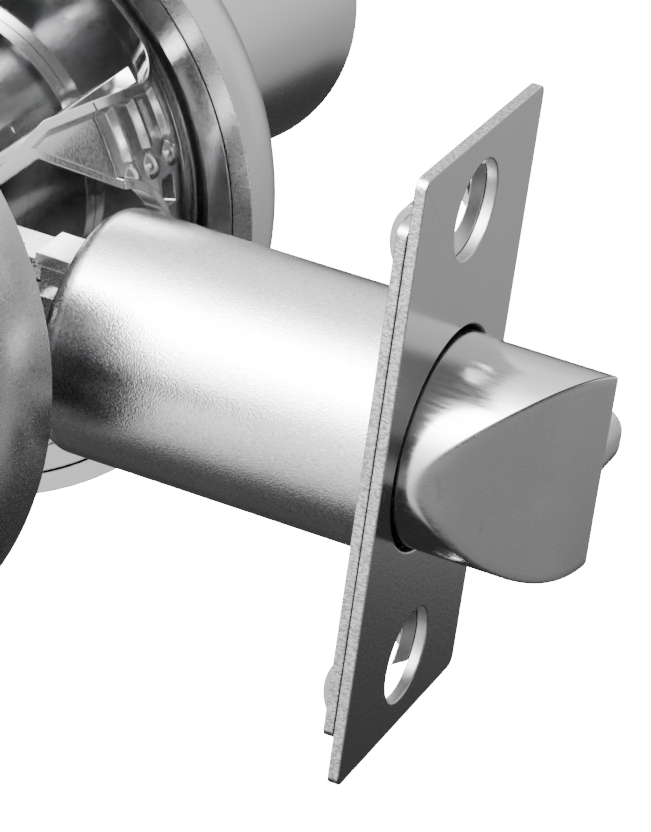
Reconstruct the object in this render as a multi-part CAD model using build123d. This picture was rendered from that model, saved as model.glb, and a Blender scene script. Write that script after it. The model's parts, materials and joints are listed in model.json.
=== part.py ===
"""Lever lockset for a hinged door: spring latch, cylindrical case, two roses and two levers.

Millimetres. The origin is where the spindle axis (Y) crosses the latch axis (X), in the middle of
the door. +X points out of the door's edge, +Y towards the inside of the room, +Z up.
"""
import os
from math import cos, pi, radians, sin, sqrt

from build123d import *

os.makedirs("parts", exist_ok=True)

# Door that the lock fits
DOOR_THICKNESS = 38.9
BACKSET = 60.3
CROSS_BORE_R = 27.0

# Clearances
SLIDE_CLEARANCE = 0.3
RUN_CLEARANCE = 0.08
SEAT_CLEARANCE = 0.05

# Latch face: a front plate over a shorter back plate
FACE_WIDTH = 25.4
FACE_HEIGHT = 57.15
FACE_THICKNESS = 1.05
FACE_CORNER_R = 1.0
BACK_PLATE_HEIGHT = 48.3
BACK_PLATE_THICKNESS = 0.9
PLATE_GAP = 0.05
FACE_SCREW_SPACING = 42.86
FACE_SCREW_HOLE_R = 4.4
BACK_SCREW_HOLE_R = 3.3
CLIP_HEIGHT = 6.2
CLIP_DEPTH = 1.9
CLIP_WIDTH = 3.4
CLIP_STOCK = 0.75
CLIP_INSET = 3.7

# Latch barrel
BARREL_R = 11.1
BARREL_WALL = 0.9
BARREL_INNER_X = 26.6
BARREL_END_WALL = 1.2
BARREL_SHOULDER_R = 2.2
PRONG_LENGTH = 4.5
PRONG_WIDTH = 5.0
PRONG_INSET = 5.1

# Latch bolt, tail and deadlatch plunger
BOLT_R = 9.6
BOLT_THROW = 13.6
BOLT_LENGTH = 26.0
BOLT_FLAT_Y = 3.2
BEVEL_ROOT = 2.3
BEVEL_BULGE = 2.0
TAIL_Y = -2.0
TAIL_THICKNESS = 2.2
TAIL_HEIGHT = 6.0
TAIL_SLOT_DEPTH = 6.0
TAIL_HEAD_LENGTH = 2.4
TAIL_HEAD_WIDTH = 6.6
TAIL_PIN_R = 1.25
PLUNGER_NOSE_SETBACK = 0.8
PLUNGER_NOSE_WIDTH = 6.0
PLUNGER_LENGTH = 23.0
PLUNGER_SHOULDER = 1.3
GUIDE_X = 31.4
GUIDE_THICKNESS = 1.8

# Springs: mean radius, wire radius, turns
BOLT_SPRING = (4.5, 0.45, 6)
PLUNGER_SPRING = (1.9, 0.3, 7)
RETRACTOR_SPRING = (2.9, 0.4, 4.5)
RETURN_SPRING = (18.6, 0.6, 2)

# Cylindrical case in two drawn halves
CASE_R = 26.2
CASE_WALL = 1.2
CASE_HALF_WIDTH = 21.4
CASE_SEAM_Y = 8.0
CASE_SEAM_GAP = 0.2
CASE_EDGE_R = 1.2
RIB_HEIGHT = 0.45
RIB_WIDTH = 1.5
RIB_PITCH = 3.7
RIB_FIRST = 3.0
RIB_COUNT = 3
RIB_END_ANGLE = 23.0
DIMPLE_R = 1.3
DIMPLE_RISE = 0.6
DIMPLE_ANGLE = 21.0
SLOT_WIDTH = 2.2
SLOT_HEIGHT = 2.6
SLOT_ANGLE = 14.0
WINDOW_ANGLE_END = 34.3
WINDOW_ANGLE_MIDDLE = 40.0
WINDOW_ANGLE_TOP = 108.0
WINDOW_END_LAND = 1.5
WINDOW_CORNER_R = 3.0
PORT_TOP = 15.7
PORT_BEND_Y = -3.4
PORT_HALF_WIDTH = 11.0
PORT_ARCH_Y = 6.3
PORT_ARCH_R = 9.7
LIP_WIDTH = 0.8
LIP_HEIGHT = 0.7
TIE_BAR_WIDTH = 1.5
TIE_BAR_THICKNESS = 1.3
TIE_BAR_ANGLE = 38.0
TIE_BAR_HALF_LENGTH = 18.8

# Hubs and hub nuts
HUB_R = 11.0
HUB_FLANGE_R = 17.0
HUB_FLANGE_THICKNESS = 1.7
HUB_INNER_Y = 11.0
HUB_THREAD_PITCH = 1.5
HUB_THREAD_DEPTH = 0.4
NUT_R = 14.2
NUT_HEIGHT = 3.6
NUT_NOTCHES = 6
NUT_NOTCH_WIDTH = 3.0

# Spindles and cams
SPINDLE_R = 8.0
SPINDLE_WALL = 1.8
SPINDLE_OUTER_Y = 46.0
CAM_LOBE_R = 13.5
CAM_LOBE_TIP_R = 2.0
CAM_LOBE_ANGLE = 30.0
CAM_ARM_Y = 8.2
CAM_ARM_THICKNESS = 2.0
CAM_LOBE_REACH = 3.7
LEVER_TURN = 60.0

# Retractor
RETRACTOR_HALF_WIDTH = 6.8
RETRACTOR_LIP = 2.8
RETRACTOR_BLOCK_X = 9.0
RETRACTOR_BLOCK_Z = 5.0
RETRACTOR_BAR_Z = 4.6
RETRACTOR_WING_THICKNESS = 4.0
RETRACTOR_WING_Z = 14.2
RETRACTOR_SPRING_Z = 9.0

# Rose liner, which carries the return spring
LINER_THICKNESS = 1.4
LINER_DISH_R = 26.6
LINER_STEP = 2.1
LINER_RIM_HEIGHT = 3.6
LINER_STOP_WIDTH = 5.0
DRIVER_R = 22.8
DRIVER_THICKNESS = 1.2
DRIVER_TAB_WIDTH = 4.0
DRIVER_TAB_DEPTH = 3.2

# Through screws and posts
THROUGH_SCREW_Z = 19.2
THROUGH_SCREW_R = 2.0
THROUGH_SCREW_LENGTH = 27.0
SCREW_HEAD_R = 3.6
SCREW_HEAD_HEIGHT = 2.2
DRIVE_SLOT_WIDTH = 1.1
POST_R = 3.4
POST_LENGTH = 26.0
POST_THREAD_START = 6.0

# Roses
ROSE_R = 33.1
ROSE_WALL = 1.1
ROSE_DEPTH = 13.2
ROSE_SKIRT = 1.85
ROSE_HEM = 1.9
ROSE_HEM_HEIGHT = 1.5
ROSE_CLEARANCE = 0.2
ROSE_FACE_R = 24.0
ROSE_NECK_GAP = 0.5

# Levers
NECK_R = 12.2
LEVER_HUB_R = 17.75
LEVER_PROJECTION = 59.9
LEVER_HUB_EDGE_R = 2.5
LEVER_LENGTH = 112.0
ARM_ROOT_HEIGHT = 27.0
ARM_MIDDLE_HEIGHT = 20.5
ARM_TIP_HEIGHT = 17.5
ARM_ROOT_THICKNESS = 14.0
ARM_TIP_THICKNESS = 11.0
ARM_EDGE_R = 4.2
CATCH_R = 2.2
CATCH_REACH = 4.6

# Key cylinder in the outside lever
CYLINDER_R = 8.6
CYLINDER_LENGTH = 27.0
PIN_CHAMBER_WIDTH = 7.0
PIN_CHAMBER_REACH = 13.2
PLUG_R = 6.2
PLUG_FACE_R = 6.9
PLUG_FACE_THICKNESS = 1.2
KEYWAY_HEIGHT = 8.2
KEYWAY_WIDTH = 1.7
TAILPIECE_HEIGHT = 5.0
TAILPIECE_THICKNESS = 1.6
TAILPIECE_END_Y = 15.0

# Turn button in the inside lever
BUTTON_R = 5.4
BUTTON_PROUD = 7.0
BUTTON_DEPTH = 13.0
BUTTON_GRIP_THICKNESS = 4.0
ROD_HEIGHT = 4.2
ROD_THICKNESS = 1.6
ROD_END_Y = -12.0

# Places worked out from the sizes above
DOOR_FACE_Y = DOOR_THICKNESS / 2
FACE_BACK_X = BACKSET - FACE_THICKNESS
BACK_PLATE_FRONT_X = FACE_BACK_X - PLATE_GAP
BACK_PLATE_BACK_X = BACK_PLATE_FRONT_X - BACK_PLATE_THICKNESS
SCREW_HOLE_Z = FACE_SCREW_SPACING / 2
BARREL_BORE_R = BARREL_R - BARREL_WALL
BOLT_HOLE_R = BOLT_R + SLIDE_CLEARANCE + 0.2
BOLT_TIP_X = BACKSET + BOLT_THROW
BOLT_BACK_X = BOLT_TIP_X - BOLT_LENGTH
TAIL_SLOT_Y = TAIL_THICKNESS / 2 + SLIDE_CLEARANCE
TAIL_SLOT_Z = TAIL_HEIGHT / 2 + SLIDE_CLEARANCE
CASE_BORE_R = CASE_R - CASE_WALL
CASE_END_Y = CASE_HALF_WIDTH - CASE_WALL
WINDOW_END_Y = CASE_HALF_WIDTH - WINDOW_END_LAND
FLANGE_INNER_Y = CASE_END_Y - HUB_FLANGE_THICKNESS - SEAT_CLEARANCE
HUB_BORE_R = SPINDLE_R + RUN_CLEARANCE
LINER_DISH_Y = CASE_HALF_WIDTH + SEAT_CLEARANCE
LINER_SEAT_Y = LINER_DISH_Y + LINER_THICKNESS
LINER_FLANGE_Y = DOOR_FACE_Y + SEAT_CLEARANCE
NUT_Y = LINER_SEAT_Y + SEAT_CLEARANCE
ROSE_RIM_Y = DOOR_FACE_Y
ROSE_FACE_Y = DOOR_FACE_Y + ROSE_DEPTH
DRIVER_Y = ROSE_FACE_Y - ROSE_WALL - SLIDE_CLEARANCE - DRIVER_THICKNESS
LEVER_END_Y = DOOR_FACE_Y + LEVER_PROJECTION
LINER_RIM_R = ROSE_R - ROSE_HEM - ROSE_CLEARANCE
LEVER_NECK_Y = DRIVER_Y + DRIVER_THICKNESS + SEAT_CLEARANCE
SPINDLE_BORE_R = SPINDLE_R - SPINDLE_WALL
SCREW_HEAD_Y = LINER_SEAT_Y + SEAT_CLEARANCE
HUB_OUTER_Y = DRIVER_Y - SLIDE_CLEARANCE
CATCH_Y = (ROSE_FACE_Y + SPINDLE_OUTER_Y) / 2
ROD_SLOT_R = sqrt(ROD_HEIGHT ** 2 + ROD_THICKNESS ** 2) / 2 + SLIDE_CLEARANCE
TAIL_HEAD_X = BOLT_THROW + ROD_SLOT_R + SLIDE_CLEARANCE
RETRACTOR_FRONT_X = TAIL_HEAD_X + TAIL_HEAD_LENGTH + SLIDE_CLEARANCE + RETRACTOR_LIP
RETRACTOR_WING_X = CAM_LOBE_R * sin(radians(CAM_LOBE_ANGLE)) - CAM_LOBE_TIP_R - SLIDE_CLEARANCE
LOBE_INNER_Y = CAM_ARM_Y - CAM_LOBE_REACH


def block(x0, x1, y0, y1, z0, z1):
    """A rectangular block between two corners."""
    size = (x1 - x0, y1 - y0, z1 - z0)
    middle = ((x0 + x1) / 2, (y0 + y1) / 2, (z0 + z1) / 2)
    return Pos(*middle) * Box(*size)


def rod_x(radius, x0, x1, y=0.0, z=0.0):
    """A round rod along X."""
    return Pos((x0 + x1) / 2, y, z) * Rot(0, 90, 0) * Cylinder(radius, x1 - x0)


def rod_y(radius, y0, y1, x=0.0, z=0.0):
    """A round rod along Y."""
    return Pos(x, (y0 + y1) / 2, z) * Rot(90, 0, 0) * Cylinder(radius, y1 - y0)


def turned_y(points):
    """A solid turned about the spindle axis from a closed outline of (radius, y) points."""
    outline = Polyline(*[(r, y) for r, y in points], close=True)
    return revolve(make_face(outline), Axis.Y, 360)


def other_side(shape):
    """The same piece for the outside of the door."""
    return mirror(shape, Plane.XZ)


def ring_edges(shape, radius, y):
    """Circular edges about the spindle axis with this radius, at this y."""
    found = []
    for edge in shape.edges().filter_by(GeomType.CIRCLE):
        centre = edge.arc_center
        if abs(edge.radius - radius) < 0.01 and abs(centre.Y - y) < 0.01 and abs(centre.X) < 0.01:
            found.append(edge)
    return found


def coil(mean_r, wire_r, turns, length):
    """A compression spring along +Z from z = 0, with its wire inside the length."""
    height = length - 2 * wire_r
    path = Helix(pitch=height / turns, height=height, radius=mean_r)
    section = Plane(origin=path @ 0, z_dir=path % 0) * RegularPolygon(wire_r, 6)
    return Pos(0, 0, wire_r) * sweep(section, path=path, is_frenet=True)


def spring_x(spring, x0, x1, y, z):
    """A compression spring along X between two seats."""
    mean_r, wire_r, turns = spring
    length = x1 - x0 - 2 * SEAT_CLEARANCE
    return Pos(x0 + SEAT_CLEARANCE, y, z) * Rot(0, 90, 0) * coil(mean_r, wire_r, turns, length)


# Latch

def plate(height, thickness, x_back, corner_r):
    """A plate across the door's edge with rounded corners, its back face at x_back."""
    outline = Plane(origin=(x_back, 0, 0), x_dir=(0, 1, 0), z_dir=(1, 0, 0))
    return extrude(outline * RectangleRounded(FACE_WIDTH, height, corner_r), thickness)


def screw_holes(x0, x1):
    """The two face screw holes as rods to cut with."""
    return [rod_x(FACE_SCREW_HOLE_R, x0, x1, 0, side * SCREW_HOLE_Z) for side in (1, -1)]


def latch_faceplate():
    """Front plate with a round bolt hole and two screw holes."""
    body = plate(FACE_HEIGHT, FACE_THICKNESS, FACE_BACK_X, FACE_CORNER_R)
    body -= rod_x(BOLT_HOLE_R, FACE_BACK_X - 1, BACKSET + 1)
    for hole in screw_holes(FACE_BACK_X - 1, BACKSET + 1):
        body -= hole
    return body


def clip_loop(y_side, z_side):
    """A loop pressed out of the back plate beside a screw hole."""
    y_outer = FACE_WIDTH / 2 - CLIP_INSET
    y0, y1 = sorted((y_side * y_outer, y_side * (y_outer - CLIP_WIDTH)))
    z = z_side * SCREW_HOLE_Z
    plane = Plane(origin=(BACK_PLATE_BACK_X, y1, z), x_dir=(1, 0, 0), z_dir=(0, -1, 0))
    outer = Ellipse(CLIP_DEPTH, CLIP_HEIGHT / 2)
    inner = Ellipse(CLIP_DEPTH - CLIP_STOCK, CLIP_HEIGHT / 2 - CLIP_STOCK)
    loop = extrude(plane * (outer - inner), y1 - y0)
    behind = block(BACK_PLATE_BACK_X - CLIP_DEPTH - 1, BACK_PLATE_BACK_X, y0 - 1, y1 + 1,
                   z - CLIP_HEIGHT, z + CLIP_HEIGHT)
    return loop & behind


def latch_backplate():
    """Shorter plate behind the face, with countersunk holes and the pressed loops that grip the face."""
    body = plate(BACK_PLATE_HEIGHT, BACK_PLATE_THICKNESS, BACK_PLATE_BACK_X, FACE_CORNER_R)
    for y_side in (1, -1):
        for z_side in (1, -1):
            body += clip_loop(y_side, z_side)
    body -= rod_x(BARREL_R + SEAT_CLEARANCE, BACK_PLATE_BACK_X - 1, BACK_PLATE_FRONT_X + 1)
    for side in (1, -1):
        z = side * SCREW_HOLE_Z
        body -= rod_x(BACK_SCREW_HOLE_R, BACK_PLATE_BACK_X - 4, BACK_PLATE_FRONT_X + 1, 0, z)
        sink = Cone(BACK_SCREW_HOLE_R, FACE_SCREW_HOLE_R, BACK_PLATE_THICKNESS)
        body -= Pos((BACK_PLATE_BACK_X + BACK_PLATE_FRONT_X) / 2, 0, z) * Rot(0, 90, 0) * sink
    return body


def latch_barrel():
    """Drawn tube with a closed, rounded inner end, a tail slot and two prongs."""
    outer = rod_x(BARREL_R, BARREL_INNER_X, FACE_BACK_X)
    outer = fillet(outer.edges().sort_by(Axis.X)[0], BARREL_SHOULDER_R)
    cavity = rod_x(BARREL_BORE_R, BARREL_INNER_X + BARREL_END_WALL, FACE_BACK_X + 1)
    cavity = fillet(cavity.edges().sort_by(Axis.X)[0], BARREL_SHOULDER_R - BARREL_WALL)
    body = outer - cavity
    body -= block(BARREL_INNER_X - 1, BARREL_INNER_X + BARREL_END_WALL + 1, TAIL_Y - TAIL_SLOT_Y,
                  TAIL_Y + TAIL_SLOT_Y, -TAIL_SLOT_Z, TAIL_SLOT_Z)
    for side in (1, -1):
        z = side * (BARREL_R - PRONG_INSET)
        body += block(BARREL_INNER_X - PRONG_LENGTH, BARREL_INNER_X, -PRONG_WIDTH / 2, PRONG_WIDTH / 2,
                      z - BARREL_END_WALL / 2, z + BARREL_END_WALL / 2)
    return body


def latch_guide():
    """Disc inside the barrel that seats the plunger spring and lets the bolt spring through."""
    body = rod_x(BARREL_BORE_R - SEAT_CLEARANCE, GUIDE_X, GUIDE_X + GUIDE_THICKNESS)
    hole_r = BOLT_SPRING[0] + BOLT_SPRING[1] + SLIDE_CLEARANCE
    return body - rod_x(hole_r, GUIDE_X - 1, GUIDE_X + GUIDE_THICKNESS + 1, TAIL_Y, 0)


def latch_bolt():
    """Round bolt with a flat back and a curved bevel that meets the strike."""
    body = rod_x(BOLT_R, BOLT_BACK_X, BOLT_TIP_X)
    body -= block(BOLT_BACK_X - 1, BOLT_TIP_X + 1, BOLT_FLAT_Y, BOLT_R + 1, -BOLT_R - 1, BOLT_R + 1)
    root = (BACKSET + BEVEL_ROOT, -BOLT_R)
    tip = (BOLT_TIP_X, BOLT_FLAT_Y)
    chord = (tip[0] - root[0], tip[1] - root[1])
    span = sqrt(chord[0] ** 2 + chord[1] ** 2)
    middle = ((root[0] + tip[0]) / 2 + BEVEL_BULGE * chord[1] / span,
              (root[1] + tip[1]) / 2 - BEVEL_BULGE * chord[0] / span)
    bevel = ThreePointArc(root, middle, tip)
    past_tip = (BOLT_TIP_X + 5, BOLT_FLAT_Y)
    past_root = (BACKSET + BEVEL_ROOT, -BOLT_R - 5)
    corner = (BOLT_TIP_X + 5, -BOLT_R - 5)
    cutter = make_face([bevel, Polyline(tip, past_tip, corner, past_root, root)])
    body -= extrude(cutter, BOLT_R + 1, both=True)
    slot_x = BOLT_BACK_X + TAIL_SLOT_DEPTH
    body -= block(BOLT_BACK_X - 1, slot_x, TAIL_Y - TAIL_THICKNESS / 2 - SEAT_CLEARANCE,
                  TAIL_Y + TAIL_THICKNESS / 2 + SEAT_CLEARANCE, -TAIL_HEIGHT / 2 - SEAT_CLEARANCE,
                  TAIL_HEIGHT / 2 + SEAT_CLEARANCE)
    pin_x = BOLT_BACK_X + 3
    return body - rod_y(TAIL_PIN_R + SEAT_CLEARANCE, -BOLT_R, BOLT_FLAT_Y, pin_x, 0)


def bolt_tail():
    """Flat tail from the bolt to the retractor, with a wide head at its inner end."""
    y0, y1 = TAIL_Y - TAIL_THICKNESS / 2, TAIL_Y + TAIL_THICKNESS / 2
    body = block(TAIL_HEAD_X, BOLT_BACK_X + 5.9, y0, y1, -TAIL_HEIGHT / 2, TAIL_HEIGHT / 2)
    body += block(TAIL_HEAD_X, TAIL_HEAD_X + TAIL_HEAD_LENGTH, TAIL_Y - TAIL_HEAD_WIDTH / 2,
                  TAIL_Y + TAIL_HEAD_WIDTH / 2, -TAIL_HEIGHT / 2, TAIL_HEIGHT / 2)
    return body - rod_y(TAIL_PIN_R + SEAT_CLEARANCE, y0 - 1, y1 + 1, BOLT_BACK_X + 3, 0)


def bolt_tail_pin():
    """Pin that holds the tail in the bolt."""
    reach = sqrt(BOLT_R ** 2 - TAIL_PIN_R ** 2) - 0.2
    return rod_y(TAIL_PIN_R, -reach, BOLT_FLAT_Y - 0.1, BOLT_BACK_X + 3, 0)


def deadlatch_plunger():
    """Segment behind the bolt's flat with a narrow rounded nose."""
    tip_x = BOLT_TIP_X - PLUNGER_NOSE_SETBACK
    y0 = BOLT_FLAT_Y + 0.15
    shoulder_x = BACKSET + PLUNGER_SHOULDER
    segment = rod_x(BOLT_R, tip_x - PLUNGER_LENGTH, tip_x)
    segment &= block(tip_x - PLUNGER_LENGTH - 1, tip_x + 1, y0, BOLT_R + 1, -BOLT_R, BOLT_R)
    half = PLUNGER_NOSE_WIDTH / 2
    for side in (1, -1):
        z0, z1 = sorted((side * half, side * (BOLT_R + 1)))
        segment -= block(shoulder_x, tip_x + 1, y0 - 1, BOLT_R + 1, z0, z1)
    nose = [e for e in segment.edges() if e.center().X > tip_x - 0.01 and abs(e.center().Z) > 1]
    return fillet(nose, half - 0.6)


def latch():
    """Every piece of the latch."""
    tip_x = BOLT_TIP_X - PLUNGER_NOSE_SETBACK
    plunger_y = (BOLT_FLAT_Y + BOLT_R) / 2
    return {
        "latch_faceplate": latch_faceplate(),
        "latch_backplate": latch_backplate(),
        "latch_barrel": latch_barrel(),
        "latch_guide": latch_guide(),
        "latch_bolt": latch_bolt(),
        "bolt_tail": bolt_tail(),
        "bolt_tail_pin": bolt_tail_pin(),
        "deadlatch_plunger": deadlatch_plunger(),
        "bolt_spring": spring_x(BOLT_SPRING, BARREL_INNER_X + BARREL_END_WALL, BOLT_BACK_X, TAIL_Y, 0),
        "plunger_spring": spring_x(PLUNGER_SPRING, GUIDE_X + GUIDE_THICKNESS,
                                   tip_x - PLUNGER_LENGTH, plunger_y, 0),
    }


# Case

def on_case(angle):
    """Move from the spindle axis to the case's surface at an angle from +X towards +Z, facing out."""
    return Rot(0, -angle, 0) * Pos(CASE_R, 0, 0) * Rot(0, 90, 0)


def ribs():
    """Raised bands round the inside half, stopping short of the latch port."""
    bands = []
    for index in range(RIB_COUNT):
        y = CASE_SEAM_Y + RIB_FIRST + index * RIB_PITCH
        bands.append(turned_y([(CASE_R - 0.5, y - RIB_WIDTH / 2), (CASE_R, y - RIB_WIDTH / 2),
                               (CASE_R + RIB_HEIGHT, y - RIB_WIDTH / 6),
                               (CASE_R + RIB_HEIGHT, y + RIB_WIDTH / 6),
                               (CASE_R, y + RIB_WIDTH / 2), (CASE_R - 0.5, y + RIB_WIDTH / 2)]))
    half = (CASE_R + 2) * sin(radians(RIB_END_ANGLE))
    front = block(CASE_R * 0.5, CASE_R + 2, 0, CASE_HALF_WIDTH, -half, half)
    return [band - front for band in bands]


def dimples():
    """Round bosses at the ribs' ends, above and below the latch port."""
    ball_r = (DIMPLE_R ** 2 + DIMPLE_RISE ** 2) / (2 * DIMPLE_RISE)
    ball = Pos(0, 0, DIMPLE_RISE - ball_r) * Sphere(ball_r)
    cap = ball & Pos(0, 0, ball_r - 0.4) * Box(4 * ball_r, 4 * ball_r, 2 * ball_r)
    bosses = []
    for index in range(RIB_COUNT):
        y = CASE_SEAM_Y + RIB_FIRST + index * RIB_PITCH
        for side in (1, -1):
            bosses.append(Pos(0, y, 0) * on_case(side * DIMPLE_ANGLE) * cap)
    return bosses


def case_shell():
    """The whole case wall before it is parted: a closed drum with holes for hubs and posts."""
    drum = rod_y(CASE_R, -CASE_HALF_WIDTH, CASE_HALF_WIDTH)
    drum = fillet(drum.edges().filter_by(GeomType.CIRCLE), CASE_EDGE_R)
    drum -= rod_y(CASE_BORE_R, -CASE_END_Y, CASE_END_Y)
    drum -= rod_y(HUB_R + SEAT_CLEARANCE, -CASE_HALF_WIDTH - 1, CASE_HALF_WIDTH + 1)
    for side in (1, -1):
        drum -= rod_y(POST_R + SEAT_CLEARANCE, -CASE_HALF_WIDTH - 1, CASE_HALF_WIDTH + 1, 0,
                      side * THROUGH_SCREW_Z)
    return drum


def window_cutter(side, grow=0.0):
    """The window above or below the latch, cut straight through the wall."""
    middle = (WINDOW_ANGLE_END + WINDOW_ANGLE_TOP) / 2

    def across(angle):
        return CASE_R * sin(radians(angle - middle))

    end = WINDOW_END_Y + grow
    low, apex, top = across(WINDOW_ANGLE_END), across(WINDOW_ANGLE_MIDDLE), across(WINDOW_ANGLE_TOP)
    outline = Polyline((-end, low - grow), (0, apex - grow), (end, low - grow), (end, top + grow),
                       (-end, top + grow), close=True)
    face = make_face(outline)
    face = fillet(face.vertices(), WINDOW_CORNER_R + grow)
    half = radians(WINDOW_ANGLE_TOP - middle)
    start = CASE_BORE_R * cos(half) - 1
    plane = Plane(origin=(start, 0, 0), x_dir=(0, 1, 0), z_dir=(1, 0, 0))
    cutter = Rot(0, -middle, 0) * extrude(plane * face, CASE_R + 3 - start)
    return cutter if side > 0 else mirror(cutter, Plane.XY)


def latch_port(grow=0.0):
    """Opening for the latch: slanted in the outside half, arched in the inside half."""
    plane = Plane(origin=(CASE_BORE_R * 0.6, 0, 0), x_dir=(0, 1, 0), z_dir=(1, 0, 0))
    top, bend, half = PORT_TOP + grow, PORT_BEND_Y, PORT_HALF_WIDTH + grow
    seam_z = sqrt(PORT_ARCH_R ** 2 - (CASE_SEAM_Y - PORT_ARCH_Y) ** 2) + grow
    outline = Polyline((-half, top), (bend, top), (CASE_SEAM_Y, seam_z), (CASE_SEAM_Y, -seam_z),
                       (bend, -top), (-half, -top), close=True)
    slanted = extrude(plane * make_face(outline), CASE_R)
    arch = rod_x(PORT_ARCH_R + grow, CASE_BORE_R * 0.6, CASE_BORE_R * 0.6 + CASE_R, PORT_ARCH_Y, 0)
    past_seam = block(0, 2 * CASE_R, CASE_SEAM_Y - 0.01, 2 * CASE_R, -CASE_R, CASE_R)
    return slanted + (arch & past_seam)


def lips():
    """Bands that stand proud round the latch port and the windows."""
    end = WINDOW_END_Y + LIP_WIDTH
    proud = CASE_R + LIP_HEIGHT
    wall = turned_y([(CASE_BORE_R, -end), (proud, -end), (proud, end), (CASE_BORE_R, end)])
    band = latch_port(LIP_WIDTH)
    for side in (1, -1):
        band += window_cutter(side, LIP_WIDTH)
    return wall & band


def slots():
    """Small slots beside the arch, above and below the latch."""
    y = CASE_SEAM_Y + RIB_FIRST + 1.6 * RIB_PITCH
    cutters = []
    for side in (1, -1):
        slot = Box(SLOT_HEIGHT, SLOT_WIDTH, 4 * CASE_WALL)
        cutters.append(Pos(0, y, 0) * on_case(side * SLOT_ANGLE) * slot)
    return cutters


def case_halves():
    """The drawn case parted at its seam, with windows, latch port, lips, ribs and bosses."""
    shell = case_shell() + lips()
    for piece in ribs() + dimples():
        shell += piece
    for cutter in [window_cutter(1), window_cutter(-1), latch_port()] + slots():
        shell -= cutter
    reach = CASE_R + 5
    inside = shell & block(-reach, reach, CASE_SEAM_Y + CASE_SEAM_GAP, reach, -reach, reach)
    outside = shell & block(-reach, reach, -reach, CASE_SEAM_Y, -reach, reach)
    return inside, outside


def case_tie_bars():
    """Two flat bars that hold the case halves together beside the latch port."""
    radius = CASE_BORE_R - TIE_BAR_THICKNESS / 2 - SEAT_CLEARANCE
    bars = []
    for side in (1, -1):
        angle = side * TIE_BAR_ANGLE
        place = Pos(radius * cos(radians(angle)), 0, radius * sin(radians(angle))) * Rot(0, -angle, 0)
        bar = Box(TIE_BAR_THICKNESS, 2 * TIE_BAR_HALF_LENGTH, TIE_BAR_WIDTH)
        bars.append(place * bar & rod_y(CASE_BORE_R - SEAT_CLEARANCE, -CASE_END_Y, CASE_END_Y))
    return bars


def hub():
    """Threaded hub of the inside half: inner bearing, flange, and the tube that takes the nut."""
    crest = HUB_R
    root = HUB_R - HUB_THREAD_DEPTH
    thread_start = NUT_Y + NUT_HEIGHT + 0.2
    outline = [(HUB_BORE_R, HUB_INNER_Y), (crest, HUB_INNER_Y), (crest, FLANGE_INNER_Y),
               (HUB_FLANGE_R, FLANGE_INNER_Y), (HUB_FLANGE_R, FLANGE_INNER_Y + HUB_FLANGE_THICKNESS),
               (crest, FLANGE_INNER_Y + HUB_FLANGE_THICKNESS), (crest, thread_start)]
    y = thread_start
    while y + HUB_THREAD_PITCH < HUB_OUTER_Y:
        outline += [(root, y + HUB_THREAD_PITCH / 2), (crest, y + HUB_THREAD_PITCH)]
        y += HUB_THREAD_PITCH
    outline += [(crest, HUB_OUTER_Y), (HUB_BORE_R, HUB_OUTER_Y)]
    body = turned_y(outline)
    for side in (1, -1):
        body -= rod_y(POST_R + SEAT_CLEARANCE, FLANGE_INNER_Y - 1, CASE_END_Y + 1, 0, side * THROUGH_SCREW_Z)
    return body


def hub_nut():
    """Round nut with spanner notches that clamps the liner to the door."""
    body = turned_y([(HUB_R + SEAT_CLEARANCE, NUT_Y), (NUT_R, NUT_Y), (NUT_R, NUT_Y + NUT_HEIGHT),
                     (HUB_R + SEAT_CLEARANCE, NUT_Y + NUT_HEIGHT)])
    for index in range(NUT_NOTCHES):
        notch = block(NUT_R - 1.2, NUT_R + 1, NUT_Y - 1, NUT_Y + NUT_HEIGHT + 1,
                      -NUT_NOTCH_WIDTH / 2, NUT_NOTCH_WIDTH / 2)
        body -= Rot(0, index * 360 / NUT_NOTCHES, 0) * notch
    return body


def cam():
    """Two arms in a V, each with a rounded lobe that pushes the retractor."""
    body = rod_y(SPINDLE_R, CAM_ARM_Y, CAM_ARM_Y + CAM_ARM_THICKNESS)
    for side in (1, -1):
        arm = block(-CAM_LOBE_TIP_R, CAM_LOBE_TIP_R, CAM_ARM_Y, CAM_ARM_Y + CAM_ARM_THICKNESS, 0, CAM_LOBE_R)
        arm += rod_y(CAM_LOBE_TIP_R, LOBE_INNER_Y, CAM_ARM_Y + CAM_ARM_THICKNESS, 0, CAM_LOBE_R)
        arm = Rot(0, CAM_LOBE_ANGLE, 0) * arm
        body += arm if side > 0 else mirror(arm, Plane.XY)
    return body


def inside_spindle():
    """Tube that the inside lever turns, with its cam in one piece."""
    body = rod_y(SPINDLE_R, CAM_ARM_Y, SPINDLE_OUTER_Y) + cam()
    body -= rod_y(SPINDLE_BORE_R, CAM_ARM_Y - 1, SPINDLE_OUTER_Y + 1)
    return body - catch_shape(SEAT_CLEARANCE)


def outside_cam():
    """Cam of the outside half, free of its spindle while the lock is locked."""
    collar_y = HUB_INNER_Y + 2.8
    body = rod_y(SPINDLE_R, CAM_ARM_Y, collar_y) + cam()
    body -= rod_y(SPINDLE_BORE_R, CAM_ARM_Y - 1, collar_y + 1)
    return other_side(body)


def outside_spindle():
    """Tube that the outside lever turns, ending short of the cam."""
    start = HUB_INNER_Y + 3.0
    body = rod_y(SPINDLE_R, start, SPINDLE_OUTER_Y) - rod_y(SPINDLE_BORE_R, start - 1, SPINDLE_OUTER_Y + 1)
    return other_side(body - catch_shape(SEAT_CLEARANCE))


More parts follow.
